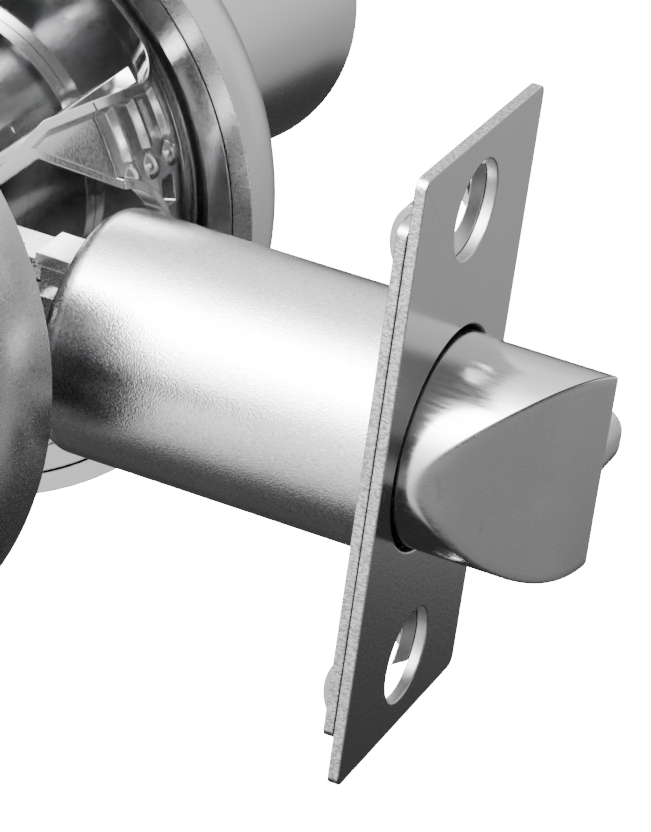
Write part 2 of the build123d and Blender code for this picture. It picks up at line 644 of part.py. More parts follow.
def retractor():
    """Slide that the cams push back, hooked to the latch tail at its front."""
    half = RETRACTOR_HALF_WIDTH
    wing_back = RETRACTOR_WING_X - RETRACTOR_WING_THICKNESS
    block_y = LOBE_INNER_Y - SLIDE_CLEARANCE
    body = block(RETRACTOR_BLOCK_X, RETRACTOR_FRONT_X, -half, block_y, -RETRACTOR_BLOCK_Z, RETRACTOR_BLOCK_Z)
    body += block(wing_back, RETRACTOR_BLOCK_X, -half, half, -RETRACTOR_BAR_Z, RETRACTOR_BAR_Z)
    body += block(wing_back, RETRACTOR_WING_X, -half, half, -RETRACTOR_WING_Z, RETRACTOR_WING_Z)
    body -= block(-ROD_SLOT_R, BOLT_THROW + ROD_SLOT_R, -half - 1, half + 1, -ROD_SLOT_R, ROD_SLOT_R)
    neck = TAIL_THICKNESS / 2 + SLIDE_CLEARANCE
    head = TAIL_HEAD_WIDTH / 2 + SLIDE_CLEARANCE
    z = RETRACTOR_BLOCK_Z + 1
    body -= block(TAIL_HEAD_X, RETRACTOR_FRONT_X + 1, TAIL_Y - neck, TAIL_Y + neck, -z, z)
    return body - block(TAIL_HEAD_X - SLIDE_CLEARANCE, TAIL_HEAD_X + TAIL_HEAD_LENGTH + SLIDE_CLEARANCE,
                        TAIL_Y - head, TAIL_Y + head, -z, z)


def retractor_springs():
    """Two springs between the back of the case and the retractor's wings."""
    wing_back = RETRACTOR_WING_X - RETRACTOR_WING_THICKNESS
    reach = RETRACTOR_SPRING_Z + RETRACTOR_SPRING[0] + RETRACTOR_SPRING[1]
    seat = -sqrt(CASE_BORE_R ** 2 - reach ** 2)
    return [spring_x(RETRACTOR_SPRING, seat, wing_back, 0, side * RETRACTOR_SPRING_Z) for side in (1, -1)]


# Trim

def liner():
    """Pressed plate under the rose: a dish over the case's end, a flange on the door, and a rim."""
    t = LINER_THICKNESS
    step = LINER_DISH_R + LINER_STEP
    outline = [(HUB_R + SEAT_CLEARANCE, LINER_DISH_Y), (LINER_DISH_R, LINER_DISH_Y),
               (step, LINER_FLANGE_Y), (LINER_RIM_R, LINER_FLANGE_Y),
               (LINER_RIM_R, LINER_FLANGE_Y + LINER_RIM_HEIGHT),
               (LINER_RIM_R - t, LINER_FLANGE_Y + LINER_RIM_HEIGHT), (LINER_RIM_R - t, LINER_FLANGE_Y + t),
               (step + 0.5 * t, LINER_FLANGE_Y + t), (LINER_DISH_R + 0.5 * t, LINER_SEAT_Y),
               (HUB_R + SEAT_CLEARANCE, LINER_SEAT_Y)]
    body = turned_y(outline)
    for side in (1, -1):
        body -= rod_y(THROUGH_SCREW_R + 0.2, LINER_DISH_Y - 1, LINER_SEAT_Y + 1, 0, side * THROUGH_SCREW_Z)
    stop_r = RETURN_SPRING[0] + RETURN_SPRING[1] + 0.4
    stop = block(-LINER_STOP_WIDTH / 2, LINER_STOP_WIDTH / 2, LINER_SEAT_Y - 0.4,
                 DRIVER_Y - SLIDE_CLEARANCE, stop_r, stop_r + 1.4)
    return body + Rot(0, 90, 0) * stop


def return_spring():
    """Torsion spring round the hub nut."""
    mean_r, wire_r, turns = RETURN_SPRING
    start = SCREW_HEAD_Y + SCREW_HEAD_HEIGHT + 0.2
    length = DRIVER_Y - SLIDE_CLEARANCE - start
    return Pos(0, start, 0) * Rot(-90, 0, 0) * coil(mean_r, wire_r, turns, length)


def return_driver():
    """Disc keyed to the spindle whose tab winds the return spring."""
    body = rod_y(DRIVER_R, DRIVER_Y, DRIVER_Y + DRIVER_THICKNESS)
    body -= rod_y(SPINDLE_R + SEAT_CLEARANCE, DRIVER_Y - 1, DRIVER_Y + DRIVER_THICKNESS + 1)
    tab_r = RETURN_SPRING[0] + RETURN_SPRING[1] + 0.4
    return body + block(-DRIVER_TAB_WIDTH / 2, DRIVER_TAB_WIDTH / 2, DRIVER_Y - DRIVER_TAB_DEPTH, DRIVER_Y,
                        tab_r, tab_r + 1.4)


def rose():
    """Domed cover of sheet metal with a hemmed rim, open round the lever's neck."""
    def dome(radius, rim_y, face_y, face_r):
        skirt_y = DOOR_FACE_Y + ROSE_SKIRT
        side = Line((radius, rim_y), (radius, skirt_y))
        crown = EllipticalCenterArc((face_r, skirt_y), radius - face_r, face_y - skirt_y, 0, arc_size=90)
        rest = Polyline((face_r, face_y), (0, face_y), (0, rim_y), (radius, rim_y))
        return revolve(make_face([side, crown, rest]), Axis.Y, 360)

    outer = dome(ROSE_R, ROSE_RIM_Y, ROSE_FACE_Y, ROSE_FACE_R)
    inner = dome(ROSE_R - ROSE_WALL, ROSE_RIM_Y - 1, ROSE_FACE_Y - ROSE_WALL, ROSE_FACE_R)
    hem = turned_y([(ROSE_R - ROSE_HEM, ROSE_RIM_Y), (ROSE_R - ROSE_WALL / 2, ROSE_RIM_Y),
                    (ROSE_R - ROSE_WALL / 2, ROSE_RIM_Y + ROSE_HEM_HEIGHT),
                    (ROSE_R - ROSE_HEM, ROSE_RIM_Y + ROSE_HEM_HEIGHT)])
    return outer - inner + hem - rod_y(NECK_R + ROSE_NECK_GAP, ROSE_RIM_Y - 2, ROSE_FACE_Y + 1)


def lever_hub():
    """Turned hub of the lever: a neck, and a cone that widens to the round end that carries the arm."""
    edge_y = LEVER_END_Y - LEVER_HUB_EDGE_R
    side = Polyline((0, LEVER_NECK_Y), (NECK_R, LEVER_NECK_Y), (NECK_R, ROSE_FACE_Y), (LEVER_HUB_R, edge_y))
    end_r = LEVER_HUB_R - LEVER_HUB_EDGE_R
    edge = EllipticalCenterArc((end_r, edge_y), LEVER_HUB_EDGE_R, LEVER_HUB_EDGE_R, 0, arc_size=90)
    end = Polyline((end_r, LEVER_END_Y), (0, LEVER_END_Y), (0, LEVER_NECK_Y))
    return revolve(make_face([side, edge, end]), Axis.Y, 360)


def lever_arm():
    """Arm that tapers away from the hub, rounded on all sides and at its tip."""
    sections = []
    for x, height, thickness in ((-4.0, ARM_ROOT_HEIGHT, ARM_ROOT_THICKNESS),
                                 (-0.45 * LEVER_LENGTH, ARM_MIDDLE_HEIGHT,
                                  (ARM_ROOT_THICKNESS + ARM_TIP_THICKNESS) / 2),
                                 (-LEVER_LENGTH, ARM_TIP_HEIGHT, ARM_TIP_THICKNESS)):
        plane = Plane(origin=(x, LEVER_END_Y - thickness / 2 - 0.6, 0), x_dir=(0, 1, 0), z_dir=(-1, 0, 0))
        sections.append(plane * RectangleRounded(thickness, height, ARM_EDGE_R))
    arm = loft(sections)
    return fillet(arm.faces().sort_by(Axis.X)[0].edges(), ARM_EDGE_R - 0.4)


def lever():
    """Cast lever of the inside: hub, arm and the bores in it."""
    body = lever_hub() + lever_arm()
    body -= rod_y(SPINDLE_R + SEAT_CLEARANCE, LEVER_NECK_Y - 1, SPINDLE_OUTER_Y + 0.5)
    return body - catch_shape(SEAT_CLEARANCE)


def catch_shape(grow):
    """The round lever catch under the neck, grown by a clearance when it is cut."""
    z0 = -SPINDLE_R - CATCH_REACH - grow
    z1 = SPINDLE_WALL - SPINDLE_R - 0.2 + grow
    return Pos(0, CATCH_Y, (z0 + z1) / 2) * Cylinder(CATCH_R + grow, z1 - z0)


def inside_lever():
    """Inside lever, bored for the turn button."""
    bore = rod_y(BUTTON_R + RUN_CLEARANCE, LEVER_END_Y - BUTTON_DEPTH, LEVER_END_Y + 1)
    passage = rod_y(SPINDLE_BORE_R - 1, SPINDLE_OUTER_Y - 1, LEVER_END_Y - BUTTON_DEPTH + 1)
    return lever() - bore - passage


def cylinder_outline(grow):
    """Round cylinder with its pin chamber below, as a solid, grown by a clearance when it is cut."""
    start = LEVER_END_Y - CYLINDER_LENGTH
    body = rod_y(CYLINDER_R + grow, start - grow, LEVER_END_Y + grow)
    half = PIN_CHAMBER_WIDTH / 2 + grow
    return body + block(-half, half, start - grow, LEVER_END_Y - 2.0, -PIN_CHAMBER_REACH - grow, 0)


def outside_lever():
    """Outside lever, with a pocket for the key cylinder."""
    passage = rod_y(SPINDLE_BORE_R - 1, SPINDLE_OUTER_Y - 1, LEVER_END_Y)
    return other_side(lever() - cylinder_outline(SEAT_CLEARANCE) - passage)


def key_cylinder():
    """Fixed part of the key cylinder."""
    body = cylinder_outline(0)
    body -= rod_y(PLUG_R + RUN_CLEARANCE, LEVER_END_Y - CYLINDER_LENGTH - 1, LEVER_END_Y + 1)
    recess = PLUG_FACE_THICKNESS + RUN_CLEARANCE
    return other_side(body - rod_y(PLUG_FACE_R + RUN_CLEARANCE, LEVER_END_Y - recess, LEVER_END_Y + 1))


def key_plug():
    """Turning plug with its keyway."""
    body = rod_y(PLUG_R, LEVER_END_Y - CYLINDER_LENGTH, LEVER_END_Y - PLUG_FACE_THICKNESS)
    body += rod_y(PLUG_FACE_R, LEVER_END_Y - PLUG_FACE_THICKNESS, LEVER_END_Y)
    body -= block(-KEYWAY_WIDTH / 2, KEYWAY_WIDTH / 2, LEVER_END_Y - CYLINDER_LENGTH + 4, LEVER_END_Y + 1,
                  -KEYWAY_HEIGHT / 2, KEYWAY_HEIGHT / 2)
    body -= block(-KEYWAY_WIDTH / 2 - 0.8, KEYWAY_WIDTH / 2, LEVER_END_Y - CYLINDER_LENGTH + 4,
                  LEVER_END_Y + 1, -0.6, 1.4)
    return other_side(body)


def key_tailpiece():
    """Flat bar from the plug to the clutch."""
    half_z, half_x = TAILPIECE_HEIGHT / 2, TAILPIECE_THICKNESS / 2
    start = LEVER_END_Y - CYLINDER_LENGTH
    return other_side(block(-half_x, half_x, TAILPIECE_END_Y, start, -half_z, half_z))


def turn_button():
    """Button in the inside lever with a flat grip."""
    body = rod_y(BUTTON_R, LEVER_END_Y - BUTTON_DEPTH + 0.3, LEVER_END_Y + BUTTON_PROUD)
    body = fillet(ring_edges(body, BUTTON_R, LEVER_END_Y + BUTTON_PROUD), 1.2)
    for side in (1, -1):
        x0, x1 = sorted((side * BUTTON_GRIP_THICKNESS / 2, side * (BUTTON_R + 1)))
        body -= block(x0, x1, LEVER_END_Y + 1.5, LEVER_END_Y + BUTTON_PROUD + 1, -BUTTON_R - 1, BUTTON_R + 1)
    return body


def lock_rod():
    """Flat rod from the turn button through both spindles to the outside cam."""
    half_z, half_x = ROD_HEIGHT / 2, ROD_THICKNESS / 2
    return block(-half_x, half_x, ROD_END_Y, LEVER_END_Y - BUTTON_DEPTH + 0.3, -half_z, half_z)


def lever_catch():
    """Round catch that holds the lever on its spindle."""
    return catch_shape(0)


def through_screws():
    """Two screws from the inside liner into the outside posts."""
    screws = []
    for side in (1, -1):
        z = side * THROUGH_SCREW_Z
        screw = rod_y(THROUGH_SCREW_R, SCREW_HEAD_Y - THROUGH_SCREW_LENGTH, SCREW_HEAD_Y, 0, z)
        screw += rod_y(SCREW_HEAD_R, SCREW_HEAD_Y, SCREW_HEAD_Y + SCREW_HEAD_HEIGHT, 0, z)
        slot_y = SCREW_HEAD_Y + SCREW_HEAD_HEIGHT
        screw -= block(-SCREW_HEAD_R - 1, SCREW_HEAD_R + 1, slot_y - 1, slot_y + 1,
                       z - DRIVE_SLOT_WIDTH / 2, z + DRIVE_SLOT_WIDTH / 2)
        screws.append(screw)
    return screws


def outside_posts():
    """Two threaded posts that stand on the outside liner and take the screws."""
    posts = []
    for side in (1, -1):
        z = side * THROUGH_SCREW_Z
        post = rod_y(POST_R, -LINER_DISH_Y, -LINER_DISH_Y + POST_LENGTH, 0, z)
        thread_start = -LINER_DISH_Y + POST_THREAD_START
        posts.append(post - rod_y(THROUGH_SCREW_R + SEAT_CLEARANCE, thread_start, POST_LENGTH, 0, z))
    return posts


def chassis():
    """Every piece of the case, hubs, spindles and retractor."""
    case_inside, case_outside = case_halves()
    return {
        "case_inside_half": case_inside,
        "case_outside_half": case_outside,
        "case_tie_bars": case_tie_bars(),
        "inside_hub": hub(),
        "outside_hub": other_side(hub()),
        "inside_hub_nut": hub_nut(),
        "outside_hub_nut": other_side(hub_nut()),
        "inside_spindle": inside_spindle(),
        "outside_spindle": outside_spindle(),
        "outside_cam": outside_cam(),
        "retractor": retractor(),
        "retractor_springs": retractor_springs(),
        "through_screws": through_screws(),
        "outside_posts": outside_posts(),
    }


def trim():
    """Every piece of the roses, levers, cylinder and button."""
    return {
        "inside_liner": liner(),
        "outside_liner": other_side(liner()),
        "inside_return_spring": return_spring(),
        "outside_return_spring": other_side(return_spring()),
        "inside_return_driver": return_driver(),
        "outside_return_driver": other_side(return_driver()),
        "inside_rose": rose(),
        "outside_rose": other_side(rose()),
        "inside_lever": inside_lever(),
        "outside_lever": outside_lever(),
        "inside_lever_catch": lever_catch(),
        "outside_lever_catch": other_side(lever_catch()),
        "key_cylinder": key_cylinder(),
        "key_plug": key_plug(),
        "key_tailpiece": key_tailpiece(),
        "turn_button": turn_button(),
        "lock_rod": lock_rod(),
    }


for name, piece in {**latch(), **chassis(), **trim()}.items():
    solids = piece if isinstance(piece, list) else [piece]
    export_step(Compound(children=[s for p in solids for s in p.solids()]), f"parts/{name}.step")
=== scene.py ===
"""Studio view of a lever lockset with its latch, cylindrical case, roses and levers.

All lengths are metres in the frame of the solids: the origin is where the spindle axis crosses the
latch axis, +X points out of the door's edge, +Y to the inside of the room and +Z up.
"""
import json
import logging
import math
from collections.abc import Iterable
from dataclasses import dataclass, field
from enum import Enum

import bmesh
import bpy
from mathutils import Matrix, Vector

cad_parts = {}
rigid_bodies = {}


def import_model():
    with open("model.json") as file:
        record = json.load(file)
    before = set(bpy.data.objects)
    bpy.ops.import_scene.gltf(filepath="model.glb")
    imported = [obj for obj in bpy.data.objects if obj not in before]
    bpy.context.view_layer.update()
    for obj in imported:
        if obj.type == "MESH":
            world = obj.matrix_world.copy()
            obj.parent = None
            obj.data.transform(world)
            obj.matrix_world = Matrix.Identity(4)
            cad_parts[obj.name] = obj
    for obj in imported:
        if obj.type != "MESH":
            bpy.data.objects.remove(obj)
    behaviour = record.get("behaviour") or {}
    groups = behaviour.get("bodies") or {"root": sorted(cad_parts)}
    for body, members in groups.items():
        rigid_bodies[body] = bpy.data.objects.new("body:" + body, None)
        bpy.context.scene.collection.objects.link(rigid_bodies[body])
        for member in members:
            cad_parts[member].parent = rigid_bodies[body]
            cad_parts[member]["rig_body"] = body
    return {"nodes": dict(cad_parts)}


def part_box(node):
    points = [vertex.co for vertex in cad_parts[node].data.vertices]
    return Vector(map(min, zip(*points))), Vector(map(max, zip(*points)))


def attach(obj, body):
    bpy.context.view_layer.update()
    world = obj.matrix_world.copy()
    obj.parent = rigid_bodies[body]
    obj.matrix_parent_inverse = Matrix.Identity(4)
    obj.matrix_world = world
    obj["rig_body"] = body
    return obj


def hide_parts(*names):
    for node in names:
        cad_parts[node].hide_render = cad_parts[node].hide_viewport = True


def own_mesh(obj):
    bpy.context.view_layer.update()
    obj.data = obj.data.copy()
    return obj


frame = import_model()

LOG = logging.getLogger("lockset")
MM = 0.001
BOLT_THROW = 13.6 * MM
PLUNGER_TRAVEL = 12.8 * MM
# Corners of a solid's triangles that lie this near are one
MERGE_DISTANCE = 0.002 * MM
# Triangles that are this flat to each other become one face
FLAT_DEG = 0.4

Socket = bpy.types.NodeSocket
Colour = tuple[float, float, float, float]
Triple = tuple[float, float, float]
Span = tuple[float, float]
Stops = tuple[Span, ...]

# Span that holds nearly all values of a noise pattern
NOISE_SPAN: Span = (0.3, 0.7)
WHITE: Colour = (1.0, 1.0, 1.0, 1.0)
# Blue of a metal's grey, as a share of its red
COOLNESS = 1.01


class Axis(Enum):
    """A direction that a turned or coiled piece runs along, with the turn that takes +Z to it."""

    X = (0.0, math.pi / 2, 0.0)
    INSIDE = (-math.pi / 2, 0.0, 0.0)
    OUTSIDE = (math.pi / 2, 0.0, 0.0)

    def turn(self) -> Matrix:
        """Rotation from +Z to this direction."""
        x, y, z = self.value
        return Matrix.Rotation(z, 4, "Z") @ Matrix.Rotation(y, 4, "Y") @ Matrix.Rotation(x, 4, "X")


def grey(tone: float) -> Colour:
    """Slightly cool grey of a tone."""
    return tone, tone, tone * COOLNESS, 1.0


def add(name: str, data: bpy.types.ID) -> bpy.types.Object:
    """Put an object into the scene.

    Args:
        name: Name of the object.
        data: Its mesh, camera or light.

    Returns:
        The object.
    """
    item = bpy.data.objects.new(name, data)
    bpy.context.scene.collection.objects.link(item)
    return item


def shade(work: bmesh.types.BMesh, smooth_deg: float) -> None:
    """Shade a mesh smooth, with its sharp edges kept.

    Args:
        work: The mesh in the making.
        smooth_deg: Edges flatter than this are shaded smooth.
    """
    for edge in work.edges:
        edge.smooth = len(edge.link_faces) == 2 and edge.calc_face_angle(0) < math.radians(smooth_deg)
    for face in work.faces:
        face.smooth = True


def bend(start: Vector, corner: Vector, end: Vector, shares: Iterable[float]) -> list[Vector]:
    """Points of a curve that rounds off a corner, each at its share of the way from start to end."""
    return [start.lerp(corner, share).lerp(corner.lerp(end, share), share) for share in shares]


class NodeBench:
    """A node tree in the making, with short calls for arithmetic."""

    def __init__(self, tree: bpy.types.NodeTree) -> None:
        """Start with the coordinates of a material's or a world's tree."""
        self.tree = tree
        self.coordinates = tree.nodes.new("ShaderNodeTexCoord")

    def join(self, source: Socket | float | Colour | Triple, target: Socket) -> None:
        """Link a socket to another, or give it a fixed value.

        Args:
            source: Socket or value.
            target: Socket that takes it.
        """
        if isinstance(source, Socket):
            self.tree.links.new(source, target)
        else:
            target.default_value = source

    def ramp(self, source: Socket, low: float, high: float, out_low: float = 0.0,
             out_high: float = 1.0) -> Socket:
        """Map a span of values smoothly to another, held at its ends.

        Args:
            source: Value to map.
            low: Value that gives out_low.
            high: Value that gives out_high.
            out_low: Result at low.
            out_high: Result at high.

        Returns:
            The mapped value.
        """
        node = self.tree.nodes.new("ShaderNodeMapRange")
        node.interpolation_type = "SMOOTHSTEP"
        for name, value in (("Value", source), ("From Min", low), ("From Max", high), ("To Min", out_low),
                            ("To Max", out_high)):
            self.join(value, node.inputs[name])
        return node.outputs["Result"]

    def sums(self, operation: str, *sources: Socket | float) -> Socket:
        """Arithmetic on up to three values.

        Args:
            operation: Name of the operation.
            sources: Its values.

        Returns:
            The result.
        """
        node = self.tree.nodes.new("ShaderNodeMath")
        node.operation = operation
        for source, target in zip(sources, node.inputs):
            self.join(source, target)
        return node.outputs["Value"]

    def product(self, *sources: Socket | float) -> Socket:
        """Product of two or more values.

        Args:
            sources: The values.

        Returns:
            The product.
        """
        result = sources[0]
        for source in sources[1:]:
            result = self.sums("MULTIPLY", result, source)
        return result

    def profile(self, source: Socket, stops: Stops) -> Socket:
        """Follow a smooth line through stops, for a value from -1 to 1.

        Args:
            source: Value to map.
            stops: Pairs of a value and its result, in rising order.

        Returns:
            The result.
        """
        node = self.tree.nodes.new("ShaderNodeValToRGB")
        line = node.color_ramp
        line.interpolation = "EASE"
        top = max(level for _, level in stops)
        while len(line.elements) < len(stops):
            line.elements.new(0.5)
        for element, (place, level) in zip(line.elements, stops):
            element.position = place / 2 + 0.5
            element.color = (level / top, level / top, level / top, 1)
        self.join(self.sums("MULTIPLY_ADD", source, 0.5, 0.5), node.inputs["Fac"])
        return self.sums("MULTIPLY", node.outputs["Color"], top)

    def along(self, source: Socket, way: Triple) -> Socket:
        """How far a direction points along another.

        Args:
            source: The direction.
            way: The other direction, of any length.

        Returns:
            The share, from -1 to 1.
        """
        node = self.tree.nodes.new("ShaderNodeVectorMath")
        node.operation = "DOT_PRODUCT"
        self.join(source, node.inputs[0])
        self.join(Vector(way).normalized(), node.inputs[1])
        return node.outputs["Value"]

    def mingle(self, factor: Socket, first: Socket | Colour, second: Socket | Colour,
               kind: str = "FLOAT") -> Socket:
        """Go from one value or colour to another as a factor rises from 0 to 1.

        Args:
            factor: The factor.
            first: What it gives at 0.
            second: What it gives at 1.
            kind: FLOAT for values and RGBA for colours.

        Returns:
            The result.
        """
        node = self.tree.nodes.new("ShaderNodeMix")
        node.data_type = kind
        for name, source in (("Factor", factor), ("A", first), ("B", second)):
            self.join(source, node.inputs[name])
        return node.outputs["Result"]

    def part(self, source: Socket, axis: str) -> Socket:
        """One part of a direction or a place.

        Args:
            source: The direction or place.
            axis: X, Y or Z.

        Returns:
            That part.
        """
        split = self.tree.nodes.new("ShaderNodeSeparateXYZ")
        self.join(source, split.inputs["Vector"])
        return split.outputs[axis]


@dataclass(frozen=True)
class Pattern:
    """A noise pattern: features for each metre, octaves, factor on X, Y and Z, and how far it is bent."""

    per_metre: float
    detail: float
    stretch: Triple = (1.0, 1.0, 1.0)
    distortion: float = 0.0


class Bench(NodeBench):
    """A material in the making, with short calls for its nodes."""

    def __init__(self, name: str) -> None:
        """Start an empty material.

        Args:
            name: Name of the material.
        """
        self.material = bpy.data.materials.new(name)
        self.material.use_nodes = True
        self.material.node_tree.nodes.clear()
        super().__init__(self.material.node_tree)
        self.spot = self.coordinates.outputs["Object"]
        output = self.tree.nodes.new("ShaderNodeOutputMaterial")
        self.shader = self.tree.nodes.new("ShaderNodeBsdfPrincipled")
        self.join(self.shader.outputs["BSDF"], output.inputs["Surface"])

    def wear(self, **values: Socket | float | Colour) -> None:
        """Set sockets of the shader by their names, which have underscores for blanks."""
        for name, value in values.items():
            self.join(value, self.shader.inputs[name.replace("_", " ")])

    def noise(self, pattern: Pattern) -> Socket:
        """Noise on object coordinates.

        Args:
            pattern: Its pattern.

        Returns:
            The noise, from 0 to 1.
        """
        mapping = self.tree.nodes.new("ShaderNodeMapping")
        self.join(self.spot, mapping.inputs["Vector"])
        self.join(pattern.stretch, mapping.inputs["Scale"])
        node = self.tree.nodes.new("ShaderNodeTexNoise")
        self.join(mapping.outputs["Vector"], node.inputs["Vector"])
        self.join(pattern.per_metre, node.inputs["Scale"])
        self.join(pattern.detail, node.inputs["Detail"])
        self.join(pattern.distortion, node.inputs["Distortion"])
        return node.outputs["Fac"]

    def cells(self, per_metre: float) -> Socket:
        """Random value of each cell of a cell pattern.

        Args:
            per_metre: Cells for each metre.

        Returns:
            The value, from 0 to 1.
        """
        node = self.tree.nodes.new("ShaderNodeTexVoronoi")
        self.join(per_metre, node.inputs["Scale"])
        self.join(self.spot, node.inputs["Vector"])
        split = self.tree.nodes.new("ShaderNodeSeparateColor")
        self.join(node.outputs["Color"], split.inputs["Color"])
        return split.outputs["Red"]

    def blend(self, factor: Socket, dark: float, light: float) -> Socket:
        """Grey between two tones."""
        return self.mingle(factor, grey(dark), grey(light), "RGBA")

    def facing(self, axis: str) -> Socket:
        """One part of the surface's own direction, from -1 to 1."""
        return self.part(self.coordinates.outputs["Normal"], axis)

    def bump(self, height: Socket, depth: float, edge: float) -> None:
        """Press a height pattern into the surface and soften its edges.

        Args:
            height: Height pattern, from 0 to 1.
            depth: Full depth of the pattern.
            edge: Radius that sharp edges seem to have.
        """
        node = self.tree.nodes.new("ShaderNodeBump")
        self.join(depth, node.inputs["Distance"])
        self.join(height, node.inputs["Height"])
        if edge > 0:
            soft = self.tree.nodes.new("ShaderNodeBevel")
            soft.samples = 4
            self.join(edge, soft.inputs["Radius"])
            self.join(soft.outputs["Normal"], node.inputs["Normal"])
        self.wear(Normal=node.outputs["Normal"])


@dataclass(frozen=True)
class Metal:
    """A plain metal finish with grain, cloudy tone and soft edges."""

    name: str
    tone: float
    roughness: float
    cloud: float = 0.06
    rough_spread: float = 0.05
    clouds: Pattern = Pattern(90.0, 4.0, distortion=0.4)
    cloud_share: float = 0.75
    grain: Pattern = Pattern(3500.0, 2.0)
    grain_depth: float = 0.01 * MM
    edge: float = 0.18 * MM
    sparkle: float = 0.0
    crystals_per_metre: float = 4800.0
    bright_crystals: Span = (0.85, 1.0)
    dark_crystals: Span = (0.0, 0.15)

    def start(self) -> tuple[Bench, Socket, Socket]:
        """Lay down the grain and the tone pattern.

        Returns:
            The bench, the grain pattern and the tone factor.
        """
        bench = Bench(self.name)
        bench.wear(Metallic=1.0)
        clouds = bench.noise(self.clouds)
        grain = bench.noise(self.grain)
        tone = bench.sums("ADD", bench.product(clouds, self.cloud_share),
                          bench.product(grain, 1 - self.cloud_share))
        if self.sparkle > 0:
            cells = bench.cells(self.crystals_per_metre)
            tone = bench.sums("ADD", tone, bench.ramp(cells, *self.bright_crystals, 0.0, self.sparkle))
            tone = bench.sums("SUBTRACT", tone, bench.ramp(cells, *self.dark_crystals, self.sparkle, 0.0))
        return bench, grain, tone

    def clouded(self, bench: Bench, tone: Socket, middle: float) -> Socket:
        """Grey that grows lighter and darker with a tone factor."""
        return bench.blend(tone, middle - self.cloud, middle + self.cloud)

    def rough(self, bench: Bench, grain: Socket) -> Socket:
        """Roughness that grows with the grain."""
        low, high = self.roughness - self.rough_spread, self.roughness + self.rough_spread
        return bench.ramp(grain, *NOISE_SPAN, low, high)

    def finish(self, bench: Bench, colour: Socket, rough: Socket, height: Socket) -> bpy.types.Material:
        """Join the patterns to the shader.

        Args:
            bench: The material in the making.
            colour: Its colour.
            rough: Its roughness.
            height: Height pattern that is pressed into it.

        Returns:
            The material, ready to be put on a piece.
        """
        bench.wear(Base_Color=colour, Roughness=rough)
        bench.bump(height, self.grain_depth, self.edge)
        return bench.material

    def material(self) -> bpy.types.Material:
        """Material of a metal that looks the same all over."""
        bench, grain, tone = self.start()
        return self.finish(bench, self.clouded(bench, tone, self.tone), self.rough(bench, grain), grain)


@dataclass(frozen=True)
class StampedPlate(Metal):
    """Satin face with speckled sheared edges and matt walls in its holes."""

    half_width: float = 12.7 * MM
    half_height: float = 28.575 * MM
    edge_inset: Span = (0.4 * MM, 0.2 * MM)
    edge_facing: Span = (0.35, 0.75)
    edge_tones: Span = (0.34, 0.82)
    torn: Pattern = Pattern(6500.0, 2.0, (0.5, 1.0, 1.0))
    torn_span: Span = (0.35, 0.65)
    wall_facing: Span = (0.82, 0.96)
    wall_roughness: float = 0.22

    def outer(self, bench: Bench) -> Socket:
        """Share of the outer edge, told by its place.

        Args:
            bench: The material in the making.

        Returns:
            1 at the outer edge and 0 elsewhere.
        """
        start, end = self.edge_inset
        shares = [bench.ramp(bench.sums("ABSOLUTE", bench.part(bench.spot, axis)), reach - start, reach - end)
                  for axis, reach in (("Y", self.half_width), ("Z", self.half_height))]
        return bench.sums("MAXIMUM", *shares)

    def material(self) -> bpy.types.Material:
        """Material of the plate, with its edges and the walls of its holes told by place and direction.

        Returns:
            The material.
        """
        bench, grain, tone = self.start()
        ahead = bench.sums("ABSOLUTE", bench.facing("X"))
        outer = self.outer(bench)
        side = bench.product(bench.ramp(ahead, *self.edge_facing, 1.0, 0.0), outer)
        walls = bench.product(bench.ramp(ahead, *self.wall_facing, self.wall_roughness, 0.0),
                              bench.sums("SUBTRACT", 1.0, outer))
        torn = bench.ramp(bench.noise(self.torn), *self.torn_span)
        colour = bench.mingle(side, self.clouded(bench, tone, self.tone), bench.blend(torn, *self.edge_tones),
                              "RGBA")
        rough = bench.sums("ADD", self.rough(bench, grain), walls)
        height = bench.sums("ADD", grain, bench.product(torn, side))
        return self.finish(bench, colour, rough, height)


